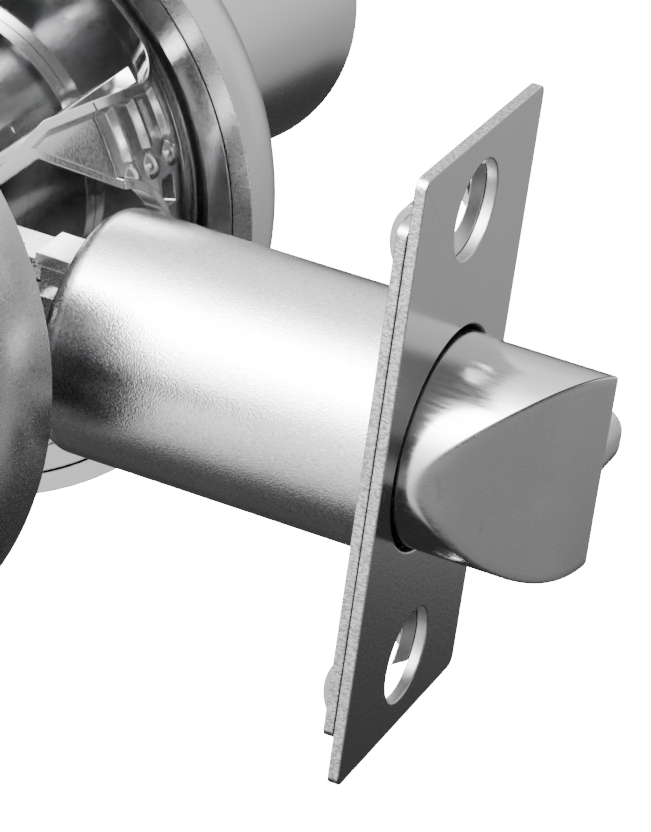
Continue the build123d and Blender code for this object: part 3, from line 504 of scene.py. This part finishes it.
@dataclass(frozen=True)
class BoltMetal(Metal):
    """Satin flank, a matt bevel that the strike rubs, and a painted shade line, near black, along the bevel's
    upper edge where it faces up.
    """

    bevel_facing: Span = (0.12, 0.4)
    bevel_tone: float = 0.60
    bevel_roughness: float = 0.30
    bevel_clouds: Pattern = Pattern(160.0, 5.0, (1.0, 1.0, 0.5), 0.6)
    rubs: Pattern = Pattern(420.0, 3.0, (1.0, 1.0, 0.6), 1.2)
    rubs_span: Span = (0.68, 0.76)
    rubs_depth: float = 1.6
    # Painted shade: grey of the near-black line on the bevel's upper edge, and the facings where it lies
    painted_shade_tone: float = 0.08
    painted_shade_start: Span = (0.02, 0.1)
    painted_shade_end: Span = (0.5, 0.62)
    painted_shade_upward: Span = (0.25, 0.5)

    def bevel(self, bench: Bench) -> Socket:
        """Colour of the bevel, with clouds and a few rubbed spots.

        Args:
            bench: The material in the making.

        Returns:
            The colour.
        """
        clouds = bench.noise(self.bevel_clouds)
        rubs = bench.ramp(bench.noise(self.rubs), *self.rubs_span, 0.0, self.rubs_depth)
        return self.clouded(bench, bench.sums("SUBTRACT", clouds, rubs), self.bevel_tone)

    def painted_shade_line(self, bench: Bench) -> Socket:
        """Share of the painted shade line along the upper edge of the bevel, on faces that point up.

        Args:
            bench: The material in the making.

        Returns:
            Share of the line, from 0 to 1.
        """
        ahead = bench.facing("X")
        return bench.product(bench.ramp(ahead, *self.painted_shade_start), bench.ramp(ahead, *self.painted_shade_end, 1.0, 0.0),
                             bench.ramp(bench.facing("Z"), *self.painted_shade_upward))

    def material(self) -> bpy.types.Material:
        """Material of the bolt, with its bevel told by its direction.

        Returns:
            The material.
        """
        bench, grain, tone = self.start()
        matt = bench.ramp(bench.facing("X"), *self.bevel_facing)
        colour = bench.mingle(matt, self.clouded(bench, tone, self.tone), self.bevel(bench), "RGBA")
        # Painted shade: darken the bevel's upward-facing upper edge to a near-black line
        colour = bench.mingle(self.painted_shade_line(bench), colour, grey(self.painted_shade_tone), "RGBA")
        rough = bench.sums("ADD", self.rough(bench, grain),
                           bench.product(matt, self.bevel_roughness - self.roughness))
        return self.finish(bench, colour, rough, grain)


class Rack:
    """Every finish of the lockset, made once."""

    SATIN_FACE = StampedPlate("satin face plate", 0.52, 0.17, cloud=0.03, rough_spread=0.03,
                              grain_depth=0.004 * MM)
    BOLT = BoltMetal("rubbed bolt", 0.58, 0.15, cloud=0.04, rough_spread=0.03,
                     grain=Pattern(3500.0, 2.0, (0.12, 1.0, 1.0)), grain_depth=0.003 * MM)
    ZINC = Metal("zinc-plated tube", 0.70, 0.20, cloud=0.15, grain=Pattern(6000.0, 2.0),
                 grain_depth=0.024 * MM, sparkle=0.5)
    CHROME = Metal("polished chrome", 0.66, 0.13, cloud=0.02, rough_spread=0.02, grain_depth=0.002 * MM)
    LINER = Metal("plated liner", 0.50, 0.19, cloud=0.03, rough_spread=0.03, grain_depth=0.004 * MM)
    SATIN_TRIM = Metal("satin plated trim", 0.56, 0.28, cloud=0.03, rough_spread=0.01,
                       grain_depth=0.0015 * MM, edge=0.2 * MM)
    WIRE = Metal("spring wire", 0.40, 0.25, cloud=0.05, edge=0.0)
    STEEL = Metal("plain steel", 0.40, 0.24)
    KEY_METAL = Metal("plated key plug", 0.58, 0.3, edge=0.12 * MM)

    def __init__(self) -> None:
        """Start with no material made."""
        self._made: dict[str, bpy.types.Material] = {}

    def get(self, finish: Metal) -> bpy.types.Material:
        """Material of a finish, made when it is first asked for.

        Args:
            finish: The finish that a piece has.

        Returns:
            Its material.
        """
        if finish.name not in self._made:
            self._made[finish.name] = finish.material()
        return self._made[finish.name]


class Workshop:
    """Calls that turn meshes into finished pieces."""

    def __init__(self, rack: Rack) -> None:
        """Keep the finishes at hand."""
        self.rack = rack

    def dress(self, node: str, finish: Metal, slot: str, smooth_deg: float = 32.0,
              bevel: float = 0.0) -> bpy.types.Object:
        """Stand a merged, smooth-shaded copy in for a solid.

        Args:
            node: Name of the solid.
            finish: Its finish.
            slot: Material slot of the record.
            smooth_deg: Edges flatter than this are shaded smooth.
            bevel: Width of a rounding on its sharp edges.

        Returns:
            The finished piece.
        """
        source = frame["nodes"][node]
        mesh = source.data.copy()
        mesh.name = f"{node}_skin"
        work = bmesh.new()
        work.from_mesh(mesh)
        bmesh.ops.remove_doubles(work, verts=work.verts, dist=MERGE_DISTANCE)
        if bevel > 0:
            bmesh.ops.dissolve_limit(work, angle_limit=math.radians(FLAT_DEG), verts=work.verts,
                                     edges=work.edges)
        shade(work, smooth_deg)
        work.to_mesh(mesh)
        work.free()
        piece = add(f"{node}_skin", mesh)
        if bevel > 0:
            modifier = piece.modifiers.new("edge", "BEVEL")
            modifier.width = bevel
            modifier.segments = 2
            modifier.limit_method = "ANGLE"
            modifier.angle_limit = math.radians(smooth_deg)
            modifier.harden_normals = True
        return self.place(piece, finish, source["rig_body"], slot, node)

    def place(self, piece: bpy.types.Object, finish: Metal, body: str, slot: str,
              stands_for: str) -> bpy.types.Object:
        """Give a piece its finish and body, and hide the solid that it stands for.

        Args:
            piece: The piece.
            finish: Its finish.
            body: Body that it rides on.
            slot: Material slot of the record; not used.
            stands_for: Solid that it is shown in place of.

        Returns:
            The same piece.
        """
        piece.data.materials.clear()
        piece.data.materials.append(self.rack.get(finish))
        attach(piece, body)
        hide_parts(stands_for)
        LOG.info("%s rides on %s", piece.name, body)
        return piece


@dataclass(frozen=True)
class Spring:
    """Sizes of a round-wire spring: radius to the middle of the wire, radius of the wire, and turns."""

    coil_r: float
    wire_r: float
    turns: float


@dataclass
class CoilMaker:
    """Round-wire springs along a spiral, from one node tree."""

    shop: Workshop
    sides: int = 10
    points_per_turn: int = 28
    _tree: bpy.types.NodeTree | None = field(default=None, init=False)

    def tree(self) -> bpy.types.NodeTree:
        """The spring's node tree, built once.

        Returns:
            A tree with inputs for the coil, the wire, the turns, the length and the material.
        """
        if self._tree is not None:
            return self._tree
        tree = bpy.data.node_groups.new("round wire spring", "GeometryNodeTree")
        ports = tree.interface
        ports.new_socket("Geometry", in_out="OUTPUT", socket_type="NodeSocketGeometry")
        for name in ("Coil Radius", "Wire Radius", "Turns", "Length"):
            ports.new_socket(name, in_out="INPUT", socket_type="NodeSocketFloat")
        ports.new_socket("Finish", in_out="INPUT", socket_type="NodeSocketMaterial")
        ends = tree.nodes.new("NodeGroupInput")
        out = tree.nodes.new("NodeGroupOutput")
        spiral = tree.nodes.new("GeometryNodeCurveSpiral")
        spiral.inputs["Resolution"].default_value = self.points_per_turn
        circle = tree.nodes.new("GeometryNodeCurvePrimitiveCircle")
        circle.inputs["Resolution"].default_value = self.sides
        sweep = tree.nodes.new("GeometryNodeCurveToMesh")
        sweep.inputs["Fill Caps"].default_value = True
        smooth = tree.nodes.new("GeometryNodeSetShadeSmooth")
        realize = tree.nodes.new("GeometryNodeRealizeInstances")
        finish = tree.nodes.new("GeometryNodeSetMaterial")
        links = (
            (ends.outputs["Coil Radius"], spiral.inputs["Start Radius"]),
            (ends.outputs["Coil Radius"], spiral.inputs["End Radius"]),
            (ends.outputs["Turns"], spiral.inputs["Rotations"]),
            (ends.outputs["Length"], spiral.inputs["Height"]),
            (ends.outputs["Wire Radius"], circle.inputs["Radius"]),
            (spiral.outputs["Curve"], sweep.inputs["Curve"]),
            (circle.outputs["Curve"], sweep.inputs["Profile Curve"]),
            (sweep.outputs["Mesh"], smooth.inputs["Geometry"]),
            (smooth.outputs["Geometry"], realize.inputs["Geometry"]),
            (realize.outputs["Geometry"], finish.inputs["Geometry"]),
            (ends.outputs["Finish"], finish.inputs["Material"]),
            (finish.outputs["Geometry"], out.inputs["Geometry"]),
        )
        for source, target in links:
            tree.links.new(source, target)
        self._tree = tree
        return tree

    def coil(self, name: str, node: str, size: Spring, length: float, place: Matrix) -> bpy.types.Object:
        """One spring as a plain mesh, in place of a solid.

        Args:
            name: Name of the piece.
            node: The solid that it stands for.
            size: Sizes of the spring.
            length: Length over the wire.
            place: Where the spring's base and direction go.

        Returns:
            The finished piece, with its place in its mesh.
        """
        values = {"Coil Radius": size.coil_r, "Wire Radius": size.wire_r, "Turns": size.turns,
                  "Length": length - 2 * size.wire_r, "Finish": self.shop.rack.get(Rack.WIRE)}
        carrier = add(f"{name}_path", bpy.data.meshes.new(f"{name}_path"))
        modifier = carrier.modifiers.new("spring", "NODES")
        modifier.node_group = self.tree()
        for item in modifier.node_group.interface.items_tree:
            if item.item_type == "SOCKET" and item.in_out == "INPUT":
                modifier[item.identifier] = values[item.name]
        bpy.context.view_layer.update()
        evaluated = carrier.evaluated_get(bpy.context.evaluated_depsgraph_get())
        mesh = bpy.data.meshes.new_from_object(evaluated)
        carrier.modifiers.remove(modifier)
        bpy.data.objects.remove(carrier)
        mesh.transform(place @ Matrix.Translation((0, 0, size.wire_r)))
        mesh.name = name
        return self.shop.place(add(name, mesh), Rack.WIRE, "lock_frame", "spring_steel", node)

    def press_coil(self, name: str, node: str, size: Spring, base: Vector, length: float, joint: str,
                   travel: float) -> None:
        """Spring along X that shortens as a joint presses it.

        Args:
            name: Name of the piece.
            node: The solid that it stands for.
            size: Sizes of the spring.
            base: Middle of the end that stays.
            length: Its length at rest.
            joint: Name of the joint; not used.
            travel: How far the joint moves its other end; not used.
        """
        place = Matrix.Translation(base) @ Axis.X.turn()
        piece = self.coil(name, node, size, length, place)
        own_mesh(piece)


@dataclass
class BoltForm:
    """Fine mesh of the bolt: a rod with a flat back and a rounded bevel, slotted for its tail."""

    radius: float = 9.6 * MM
    flat_y: float = 3.2 * MM
    bevel_root_x: float = 62.6 * MM
    bevel_bulge: float = 2.0 * MM
    middle_y: float = -1.5 * MM
    corner_r: float = 0.25 * MM
    rim: float = 0.24 * MM
    nose_rim: float = 1.1 * MM
    nose_spread: float = 3.6 * MM
    tail_y: float = -2.0 * MM
    slot_half_y: float = 1.15 * MM
    slot_half_z: float = 3.05 * MM
    slot_depth: float = 6.0 * MM
    arc_steps: int = 110
    rim_steps: int = 5
    flat_steps: int = 4
    corner_shares: tuple[float, ...] = (0.33, 0.66)
    shrink: tuple[float, ...] = (0.93, 0.8, 0.6, 0.4, 0.2)
    smooth_deg: float = 35.0

    def bevel_x(self, y: float, tip_x: float) -> float:
        """Place of the bevel along the bolt.

        Args:
            y: Place across the bolt.
            tip_x: Place of the bolt's tip.

        Returns:
            Place along the bolt.
        """
        root, tip = Vector((self.bevel_root_x, -self.radius)), Vector((tip_x, self.flat_y))
        chord = tip - root
        arc_r = chord.length_squared / (8 * self.bevel_bulge) + self.bevel_bulge / 2
        outward = Vector((chord.y, -chord.x)).normalized()
        centre = (root + tip) / 2 - outward * (arc_r - self.bevel_bulge)
        return centre.x + math.sqrt(arc_r ** 2 - (y - centre.y) ** 2)

    def outline(self) -> list[Vector]:
        """Section of the rod across its length, with its two corners rounded.

        Returns:
            The points, along the arc first and back along the flat.
        """
        half_flat = math.sqrt(self.radius ** 2 - self.flat_y ** 2)
        last = math.acos(-self.flat_y / self.radius) - self.corner_r / self.radius
        turns = [last * (2 * index / self.arc_steps - 1) for index in range(self.arc_steps + 1)]
        arc = [Vector((-self.radius * math.cos(turn), self.radius * math.sin(turn))) for turn in turns]
        top = Vector((self.flat_y, half_flat - self.corner_r))
        bottom = Vector((self.flat_y, self.corner_r - half_flat))
        flat = [top.lerp(bottom, index / self.flat_steps) for index in range(self.flat_steps + 1)]
        return [*arc, *bend(arc[-1], Vector((self.flat_y, half_flat)), top, self.corner_shares), *flat,
                *bend(bottom, Vector((self.flat_y, -half_flat)), arc[0], self.corner_shares)]

    def loops(self, back_x: float, tip_x: float) -> list[list[Vector]]:
        """Loops of points from the back of the rod to the middle of its bevel.

        Args:
            back_x: Place of its back.
            tip_x: Place of its tip.

        Returns:
            The loops, each as long as the outline.
        """
        outline = self.outline()
        middle = Vector((self.middle_y, 0.0))
        nose = Vector((-self.radius, 0.0))
        shares = [step / self.rim_steps for step in range(self.rim_steps + 1)]
        columns, inner = [], []
        for spot in outline:
            near = math.exp(-(spot - nose).length_squared / self.nose_spread ** 2)
            rim = self.rim + (self.nose_rim - self.rim) * near
            corner = Vector((self.bevel_x(spot.x, tip_x), *spot))
            behind = corner - Vector((rim, 0.0, 0.0))
            support = behind - Vector((self.rim / 2, 0.0, 0.0))
            inside = spot + (middle - spot).normalized() * rim
            ahead = Vector((self.bevel_x(inside.x, tip_x), *inside))
            columns.append([support, *bend(behind, corner, ahead, shares)])
            inner.append(inside)
        loops = [[Vector((back_x, *spot)) for spot in outline], *(list(row) for row in zip(*columns))]
        for share in self.shrink:
            spots = [middle.lerp(spot, share) for spot in inner]
            loops.append([Vector((self.bevel_x(spot.x, tip_x), *spot)) for spot in spots])
        return loops

    def mesh(self, back_x: float, tip_x: float) -> bpy.types.Mesh:
        """Closed mesh of the bolt before its slot is cut.

        Args:
            back_x: Place of its back.
            tip_x: Place of its tip.

        Returns:
            The mesh.
        """
        work = bmesh.new()
        rings = [[work.verts.new(point) for point in loop] for loop in self.loops(back_x, tip_x)]
        count = len(rings[0])
        for first, second in zip(rings, rings[1:]):
            for index in range(count):
                after = (index + 1) % count
                work.faces.new((first[index], first[after], second[after], second[index]))
        peak = work.verts.new((self.bevel_x(self.middle_y, tip_x), self.middle_y, 0.0))
        for index in range(count):
            work.faces.new((rings[-1][index], rings[-1][(index + 1) % count], peak))
        work.faces.new(list(reversed(rings[0])))
        bmesh.ops.recalc_face_normals(work, faces=work.faces)
        mesh = bpy.data.meshes.new("latch_bolt_blank")
        work.to_mesh(mesh)
        work.free()
        return mesh

    def cutter(self, back_x: float) -> bpy.types.Mesh:
        """Block that cuts the slot for the tail.

        Args:
            back_x: Place of the bolt's back.

        Returns:
            The block's mesh.
        """
        work = bmesh.new()
        bmesh.ops.create_cube(work, size=2.0)
        for vertex in work.verts:
            x, y, z = vertex.co
            vertex.co = (back_x + x * self.slot_depth, self.tail_y + y * self.slot_half_y,
                         z * self.slot_half_z)
        mesh = bpy.data.meshes.new("slot")
        work.to_mesh(mesh)
        work.free()
        return mesh

    def piece(self, back_x: float, tip_x: float) -> bpy.types.Object:
        """The bolt with its slot cut, as one plain mesh.

        Args:
            back_x: Place of its back.
            tip_x: Place of its tip.

        Returns:
            The piece.
        """
        blank = add("latch_bolt_blank", self.mesh(back_x, tip_x))
        slot = add("slot", self.cutter(back_x))
        cut = blank.modifiers.new("slot", "BOOLEAN")
        cut.operation = "DIFFERENCE"
        cut.object = slot
        cut.solver = "EXACT"
        evaluated = blank.evaluated_get(bpy.context.evaluated_depsgraph_get())
        mesh = bpy.data.meshes.new_from_object(evaluated)
        bpy.data.objects.remove(blank)
        bpy.data.objects.remove(slot)
        mesh.name = "latch_bolt_skin"
        work = bmesh.new()
        work.from_mesh(mesh)
        shade(work, self.smooth_deg)
        work.to_mesh(mesh)
        work.free()
        return add("latch_bolt_skin", mesh)


@dataclass
class LatchSet:
    """Face plates, barrel, bolt, plunger and their springs."""

    shop: Workshop
    coils: CoilMaker
    bolt_spring: Spring = Spring(4.5 * MM, 0.45 * MM, 9.0)
    plunger_spring: Spring = Spring(1.9 * MM, 0.28 * MM, 14.0)
    plate_edge: float = 0.12 * MM

    def build(self) -> None:
        """Dress each piece of the latch."""
        self.shop.dress("latch_faceplate", Rack.SATIN_FACE, "satin_steel", bevel=self.plate_edge)
        self.shop.dress("latch_backplate", Rack.SATIN_FACE, "satin_steel")
        self.shop.dress("latch_barrel", Rack.ZINC, "zinc_steel")
        low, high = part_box("latch_bolt")
        bolt = BoltForm().piece(low.x, high.x)
        self.shop.place(bolt, Rack.BOLT, "bolt", "satin_steel", "latch_bolt")
        self.shop.dress("deadlatch_plunger", Rack.BOLT, "satin_steel")
        for node in ("latch_guide", "bolt_tail", "bolt_tail_pin"):
            self.shop.dress(node, Rack.STEEL, "zinc_steel")
        self.spring("bolt_spring", self.bolt_spring, "bolt_slide", BOLT_THROW)
        self.spring("plunger_spring", self.plunger_spring, "plunger_slide", PLUNGER_TRAVEL)

    def spring(self, node: str, size: Spring, joint: str, travel: float) -> None:
        """Round-wire spring along X in place of a plain one.

        Args:
            node: The solid that it stands for.
            size: Sizes of the spring.
            joint: Joint that presses it.
            travel: How far the joint presses it.
        """
        low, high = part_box(node)
        middle = (low + high) / 2
        base = Vector((low.x, middle.y, middle.z))
        self.coils.press_coil(f"{node}_wire", node, size, base, high.x - low.x, joint, travel)


@dataclass
class CaseSet:
    """Drawn case, hubs, spindles, cams and the retractor."""

    shop: Workshop
    coils: CoilMaker
    spring: Spring = Spring(2.9 * MM, 0.4 * MM, 8.0)
    spring_z: float = 9.0 * MM
    bright: tuple[str, ...] = ("case_inside_half", "case_outside_half", "case_tie_bars", "inside_hub",
                               "outside_hub", "inside_hub_nut", "outside_hub_nut", "inside_spindle",
                               "outside_spindle")
    plated: tuple[str, ...] = ("retractor", "outside_cam", "through_screws", "outside_posts", "lock_rod",
                               "key_tailpiece")

    def build(self) -> None:
        """Dress each piece of the case."""
        for node in self.bright:
            self.shop.dress(node, Rack.CHROME, "bright_chrome")
        for node in self.plated:
            self.shop.dress(node, Rack.STEEL, "zinc_steel")
        low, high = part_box("retractor_springs")
        for side in (1, -1):
            self.coils.press_coil(f"retractor_wire_{side}", "retractor_springs", self.spring,
                                  Vector((low.x, 0, side * self.spring_z)), high.x - low.x,
                                  "retractor_slide", BOLT_THROW)


@dataclass
class TrimSet:
    """Roses, liners, levers, return springs, key cylinder and turn button."""

    shop: Workshop
    coils: CoilMaker
    return_spring: Spring = Spring(18.6 * MM, 0.6 * MM, 3.0)

    def build(self) -> None:
        """Dress each piece of the trim."""
        for side in ("inside", "outside"):
            self.shop.dress(f"{side}_rose", Rack.SATIN_TRIM, "satin_chrome")
            self.shop.dress(f"{side}_lever", Rack.SATIN_TRIM, "satin_chrome")
            self.shop.dress(f"{side}_liner", Rack.LINER, "zinc_steel")
            self.shop.dress(f"{side}_return_driver", Rack.STEEL, "zinc_steel")
            self.shop.dress(f"{side}_lever_catch", Rack.STEEL, "zinc_steel")
            self.spring(side)
        self.shop.dress("turn_button", Rack.SATIN_TRIM, "satin_chrome")
        self.shop.dress("key_cylinder", Rack.SATIN_TRIM, "satin_chrome")
        self.shop.dress("key_plug", Rack.KEY_METAL, "key_brass")

    def spring(self, side: str) -> None:
        """Round-wire return spring of one lever.

        Args:
            side: Inside or outside.
        """
        node = f"{side}_return_spring"
        low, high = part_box(node)
        base = low.y if side == "inside" else high.y
        place = Matrix.Translation((0, base, 0)) @ Axis[side.upper()].turn()
        self.coils.coil(f"{node}_wire", node, self.return_spring, high.y - low.y, place)


@dataclass
class Studio:
    """Camera, floor and soft light.

    The lines give the light by direction, as pairs of a share from -1 to 1 and a strength.
    """

    eye: Triple = (0.16743, -0.31168, 0.1709)
    target: Triple = (0.047959, 0.004615, -0.003923)
    roll_deg: float = 8.115
    lens_mm: float = 189.89
    sensor_mm: float = 36.0
    clip: Span = (0.01, 20.0)
    floor_z: float = -0.22
    floor_tone: float = 0.92
    floor_roughness: float = 0.9
    floor_glow: float = 20.0
    cove_r: float = 3.0
    cove_rise: float = 0.9
    wall_top: float = 4.0
    roof_top: float = 6.0
    cove_sides: int = 48
    key_place: Triple = (-0.30, -0.60, 0.74)
    key_target: Triple = (0.03, 0.0, 0.0)
    key_size: float = 0.6
    key_watts: float = 9.0
    glow_line: Stops = ((-0.4, 1.0), (0.1, 1.2), (0.4, 2.0), (0.65, 3.2), (0.79, 5.5), (0.85, 9.0),
                        (0.92, 16.0), (1.0, 20.0))
    glow_foot: Span = (-0.92, -0.6)
    glow_foot_share: float = 0.08
    rear_line: Stops = ((-0.6, 0.05), (-0.5, 0.06), (-0.44, 0.5), (-0.3, 0.62), (0.0, 1.2), (0.15, 1.5),
                        (1.0, 1.3))
    rear_left_line: Stops = ((-0.9, 0.05), (-0.2, 0.08), (-0.05, 0.16), (0.15, 0.8), (0.35, 1.2), (0.7, 1.9),
                             (1.0, 2.6))
    side_line: Stops = ((-0.56, 0.06), (-0.5, 0.42), (-0.4, 0.5), (-0.2, 0.36), (-0.05, 0.12), (0.18, 0.09),
                        (0.35, 0.3), (1.0, 0.35))
    left_turn: Span = (0.1, 0.5)
    right_turn: Span = (0.2, 0.55)
    middle_turn: Span = (-0.16, 0.14)
    flag_edge: Span = (0.532, 0.548)
    flag_slant: float = 0.2
    flag_foot: Span = (-0.15, -0.10)
    flag_top: Span = (0.22, 0.26)
    flag_far_edge: Span = (0.60, 0.64)
    flag_depth: float = 0.94

    def build(self) -> None:
        """Set the camera, the floor and the lights."""
        self.camera()
        self.floor()
        self.world()
        self.key_light()

    def aim(self, place: Triple, target: Triple, roll_deg: float = 0.0) -> Matrix:
        """Matrix of a camera or lamp that looks from a place to a target, turned about that line."""
        look = (Vector(target) - Vector(place)).to_track_quat("-Z", "Y").to_matrix().to_4x4()
        return Matrix.Translation(place) @ look @ Matrix.Rotation(math.radians(roll_deg), 4, "Z")

    def camera(self) -> None:
        """Camera at the photograph's viewing angle."""
        data = bpy.data.cameras.new("camera")
        data.lens = self.lens_mm
        data.sensor_width = self.sensor_mm
        data.clip_start, data.clip_end = self.clip
        camera = add("camera", data)
        camera.matrix_world = self.aim(self.eye, self.target, self.roll_deg)
        bpy.context.scene.camera = camera

    def floor(self) -> None:
        """Plain white floor that curves up into a wall all round."""
        work = bmesh.new()
        wall_r = self.cove_r + self.cove_rise
        profile = [(self.cove_r, self.floor_z), (wall_r, self.floor_z + self.cove_rise),
                   (wall_r, self.floor_z + self.wall_top)]
        angles = [2 * math.pi * index / self.cove_sides for index in range(self.cove_sides)]
        rings = [[work.verts.new((r * math.cos(a), r * math.sin(a), z)) for a in angles] for r, z in profile]
        bottom = work.verts.new((0, 0, self.floor_z))
        top = work.verts.new((0, 0, self.floor_z + self.roof_top))
        for index in range(self.cove_sides):
            after = (index + 1) % self.cove_sides
            work.faces.new((bottom, rings[0][index], rings[0][after]))
            work.faces.new((top, rings[-1][after], rings[-1][index]))
            for inner, outer in zip(rings, rings[1:]):
                work.faces.new((inner[index], outer[index], outer[after], inner[after]))
        bmesh.ops.recalc_face_normals(work, faces=work.faces)
        bmesh.ops.reverse_faces(work, faces=work.faces)
        mesh = bpy.data.meshes.new("floor")
        work.to_mesh(mesh)
        work.free()
        bench = Bench("white floor")
        bench.wear(Base_Color=(self.floor_tone, self.floor_tone, self.floor_tone, 1),
                   Roughness=self.floor_roughness, Emission_Color=WHITE, Emission_Strength=self.floor_glow)
        mesh.materials.append(bench.material)
        floor = add("floor", mesh)
        floor.visible_glossy = False
        floor.visible_diffuse = False
        floor.visible_shadow = False

    def world(self) -> None:
        """Soft light with a broad glow over the left, dim to the right and dark low down."""
        world = bpy.data.worlds.new("studio")
        world.use_nodes = True
        background = world.node_tree.nodes["Background"]
        background.inputs["Color"].default_value = WHITE
        bench = NodeBench(world.node_tree)
        aim = bench.coordinates.outputs["Generated"]
        across, depth, height = (bench.part(aim, axis) for axis in "XYZ")
        glow = bench.product(bench.profile(bench.along(aim, self.key_place), self.glow_line),
                             bench.ramp(height, *self.glow_foot, self.glow_foot_share, 1.0))
        left = bench.mingle(bench.ramp(depth, *self.left_turn), glow,
                            bench.profile(height, self.rear_left_line))
        rear = bench.product(bench.profile(height, self.rear_line), self.flag(bench, across, height))
        right = bench.mingle(bench.ramp(depth, *self.right_turn), bench.profile(height, self.side_line), rear)
        level = bench.mingle(bench.ramp(across, *self.middle_turn), left, right)
        bench.join(level, background.inputs["Strength"])
        bpy.context.scene.world = world

    def flag(self, bench: NodeBench, across: Socket, height: Socket) -> Socket:
        """Black card behind the lockset that darkens the case's flat.

        Args:
            bench: The world's nodes.
            across: Part of the direction along X.
            height: Part of the direction along Z.

        Returns:
            Share of the light that is left, near 0 on the card.
        """
        slanted = bench.sums("ADD", across, bench.product(height, self.flag_slant))
        card = bench.product(bench.ramp(slanted, *self.flag_edge, 0.0, self.flag_depth),
                             bench.ramp(height, *self.flag_foot),
                             bench.ramp(across, *self.flag_far_edge, 1.0, 0.0),
                             bench.ramp(height, *self.flag_top, 1.0, 0.0))
        return bench.sums("SUBTRACT", 1.0, card)

    def key_light(self) -> None:
        """Soft box over the left, aimed at the latch."""
        data = bpy.data.lights.new("key", "AREA")
        data.shape = "RECTANGLE"
        data.size = self.key_size
        data.size_y = self.key_size
        data.energy = self.key_watts
        lamp = add("key", data)
        lamp.matrix_world = self.aim(self.key_place, self.key_target)


def main() -> None:
    """Build every sub-assembly and the studio."""
    logging.basicConfig(level=logging.INFO, format="%(name)s: %(message)s")
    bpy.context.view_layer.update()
    shop = Workshop(Rack())
    coils = CoilMaker(shop)
    for assembly in (LatchSet(shop, coils), CaseSet(shop, coils), TrimSet(shop, coils)):
        assembly.build()
    Studio().build()


if __name__ == "__main__":
    main()
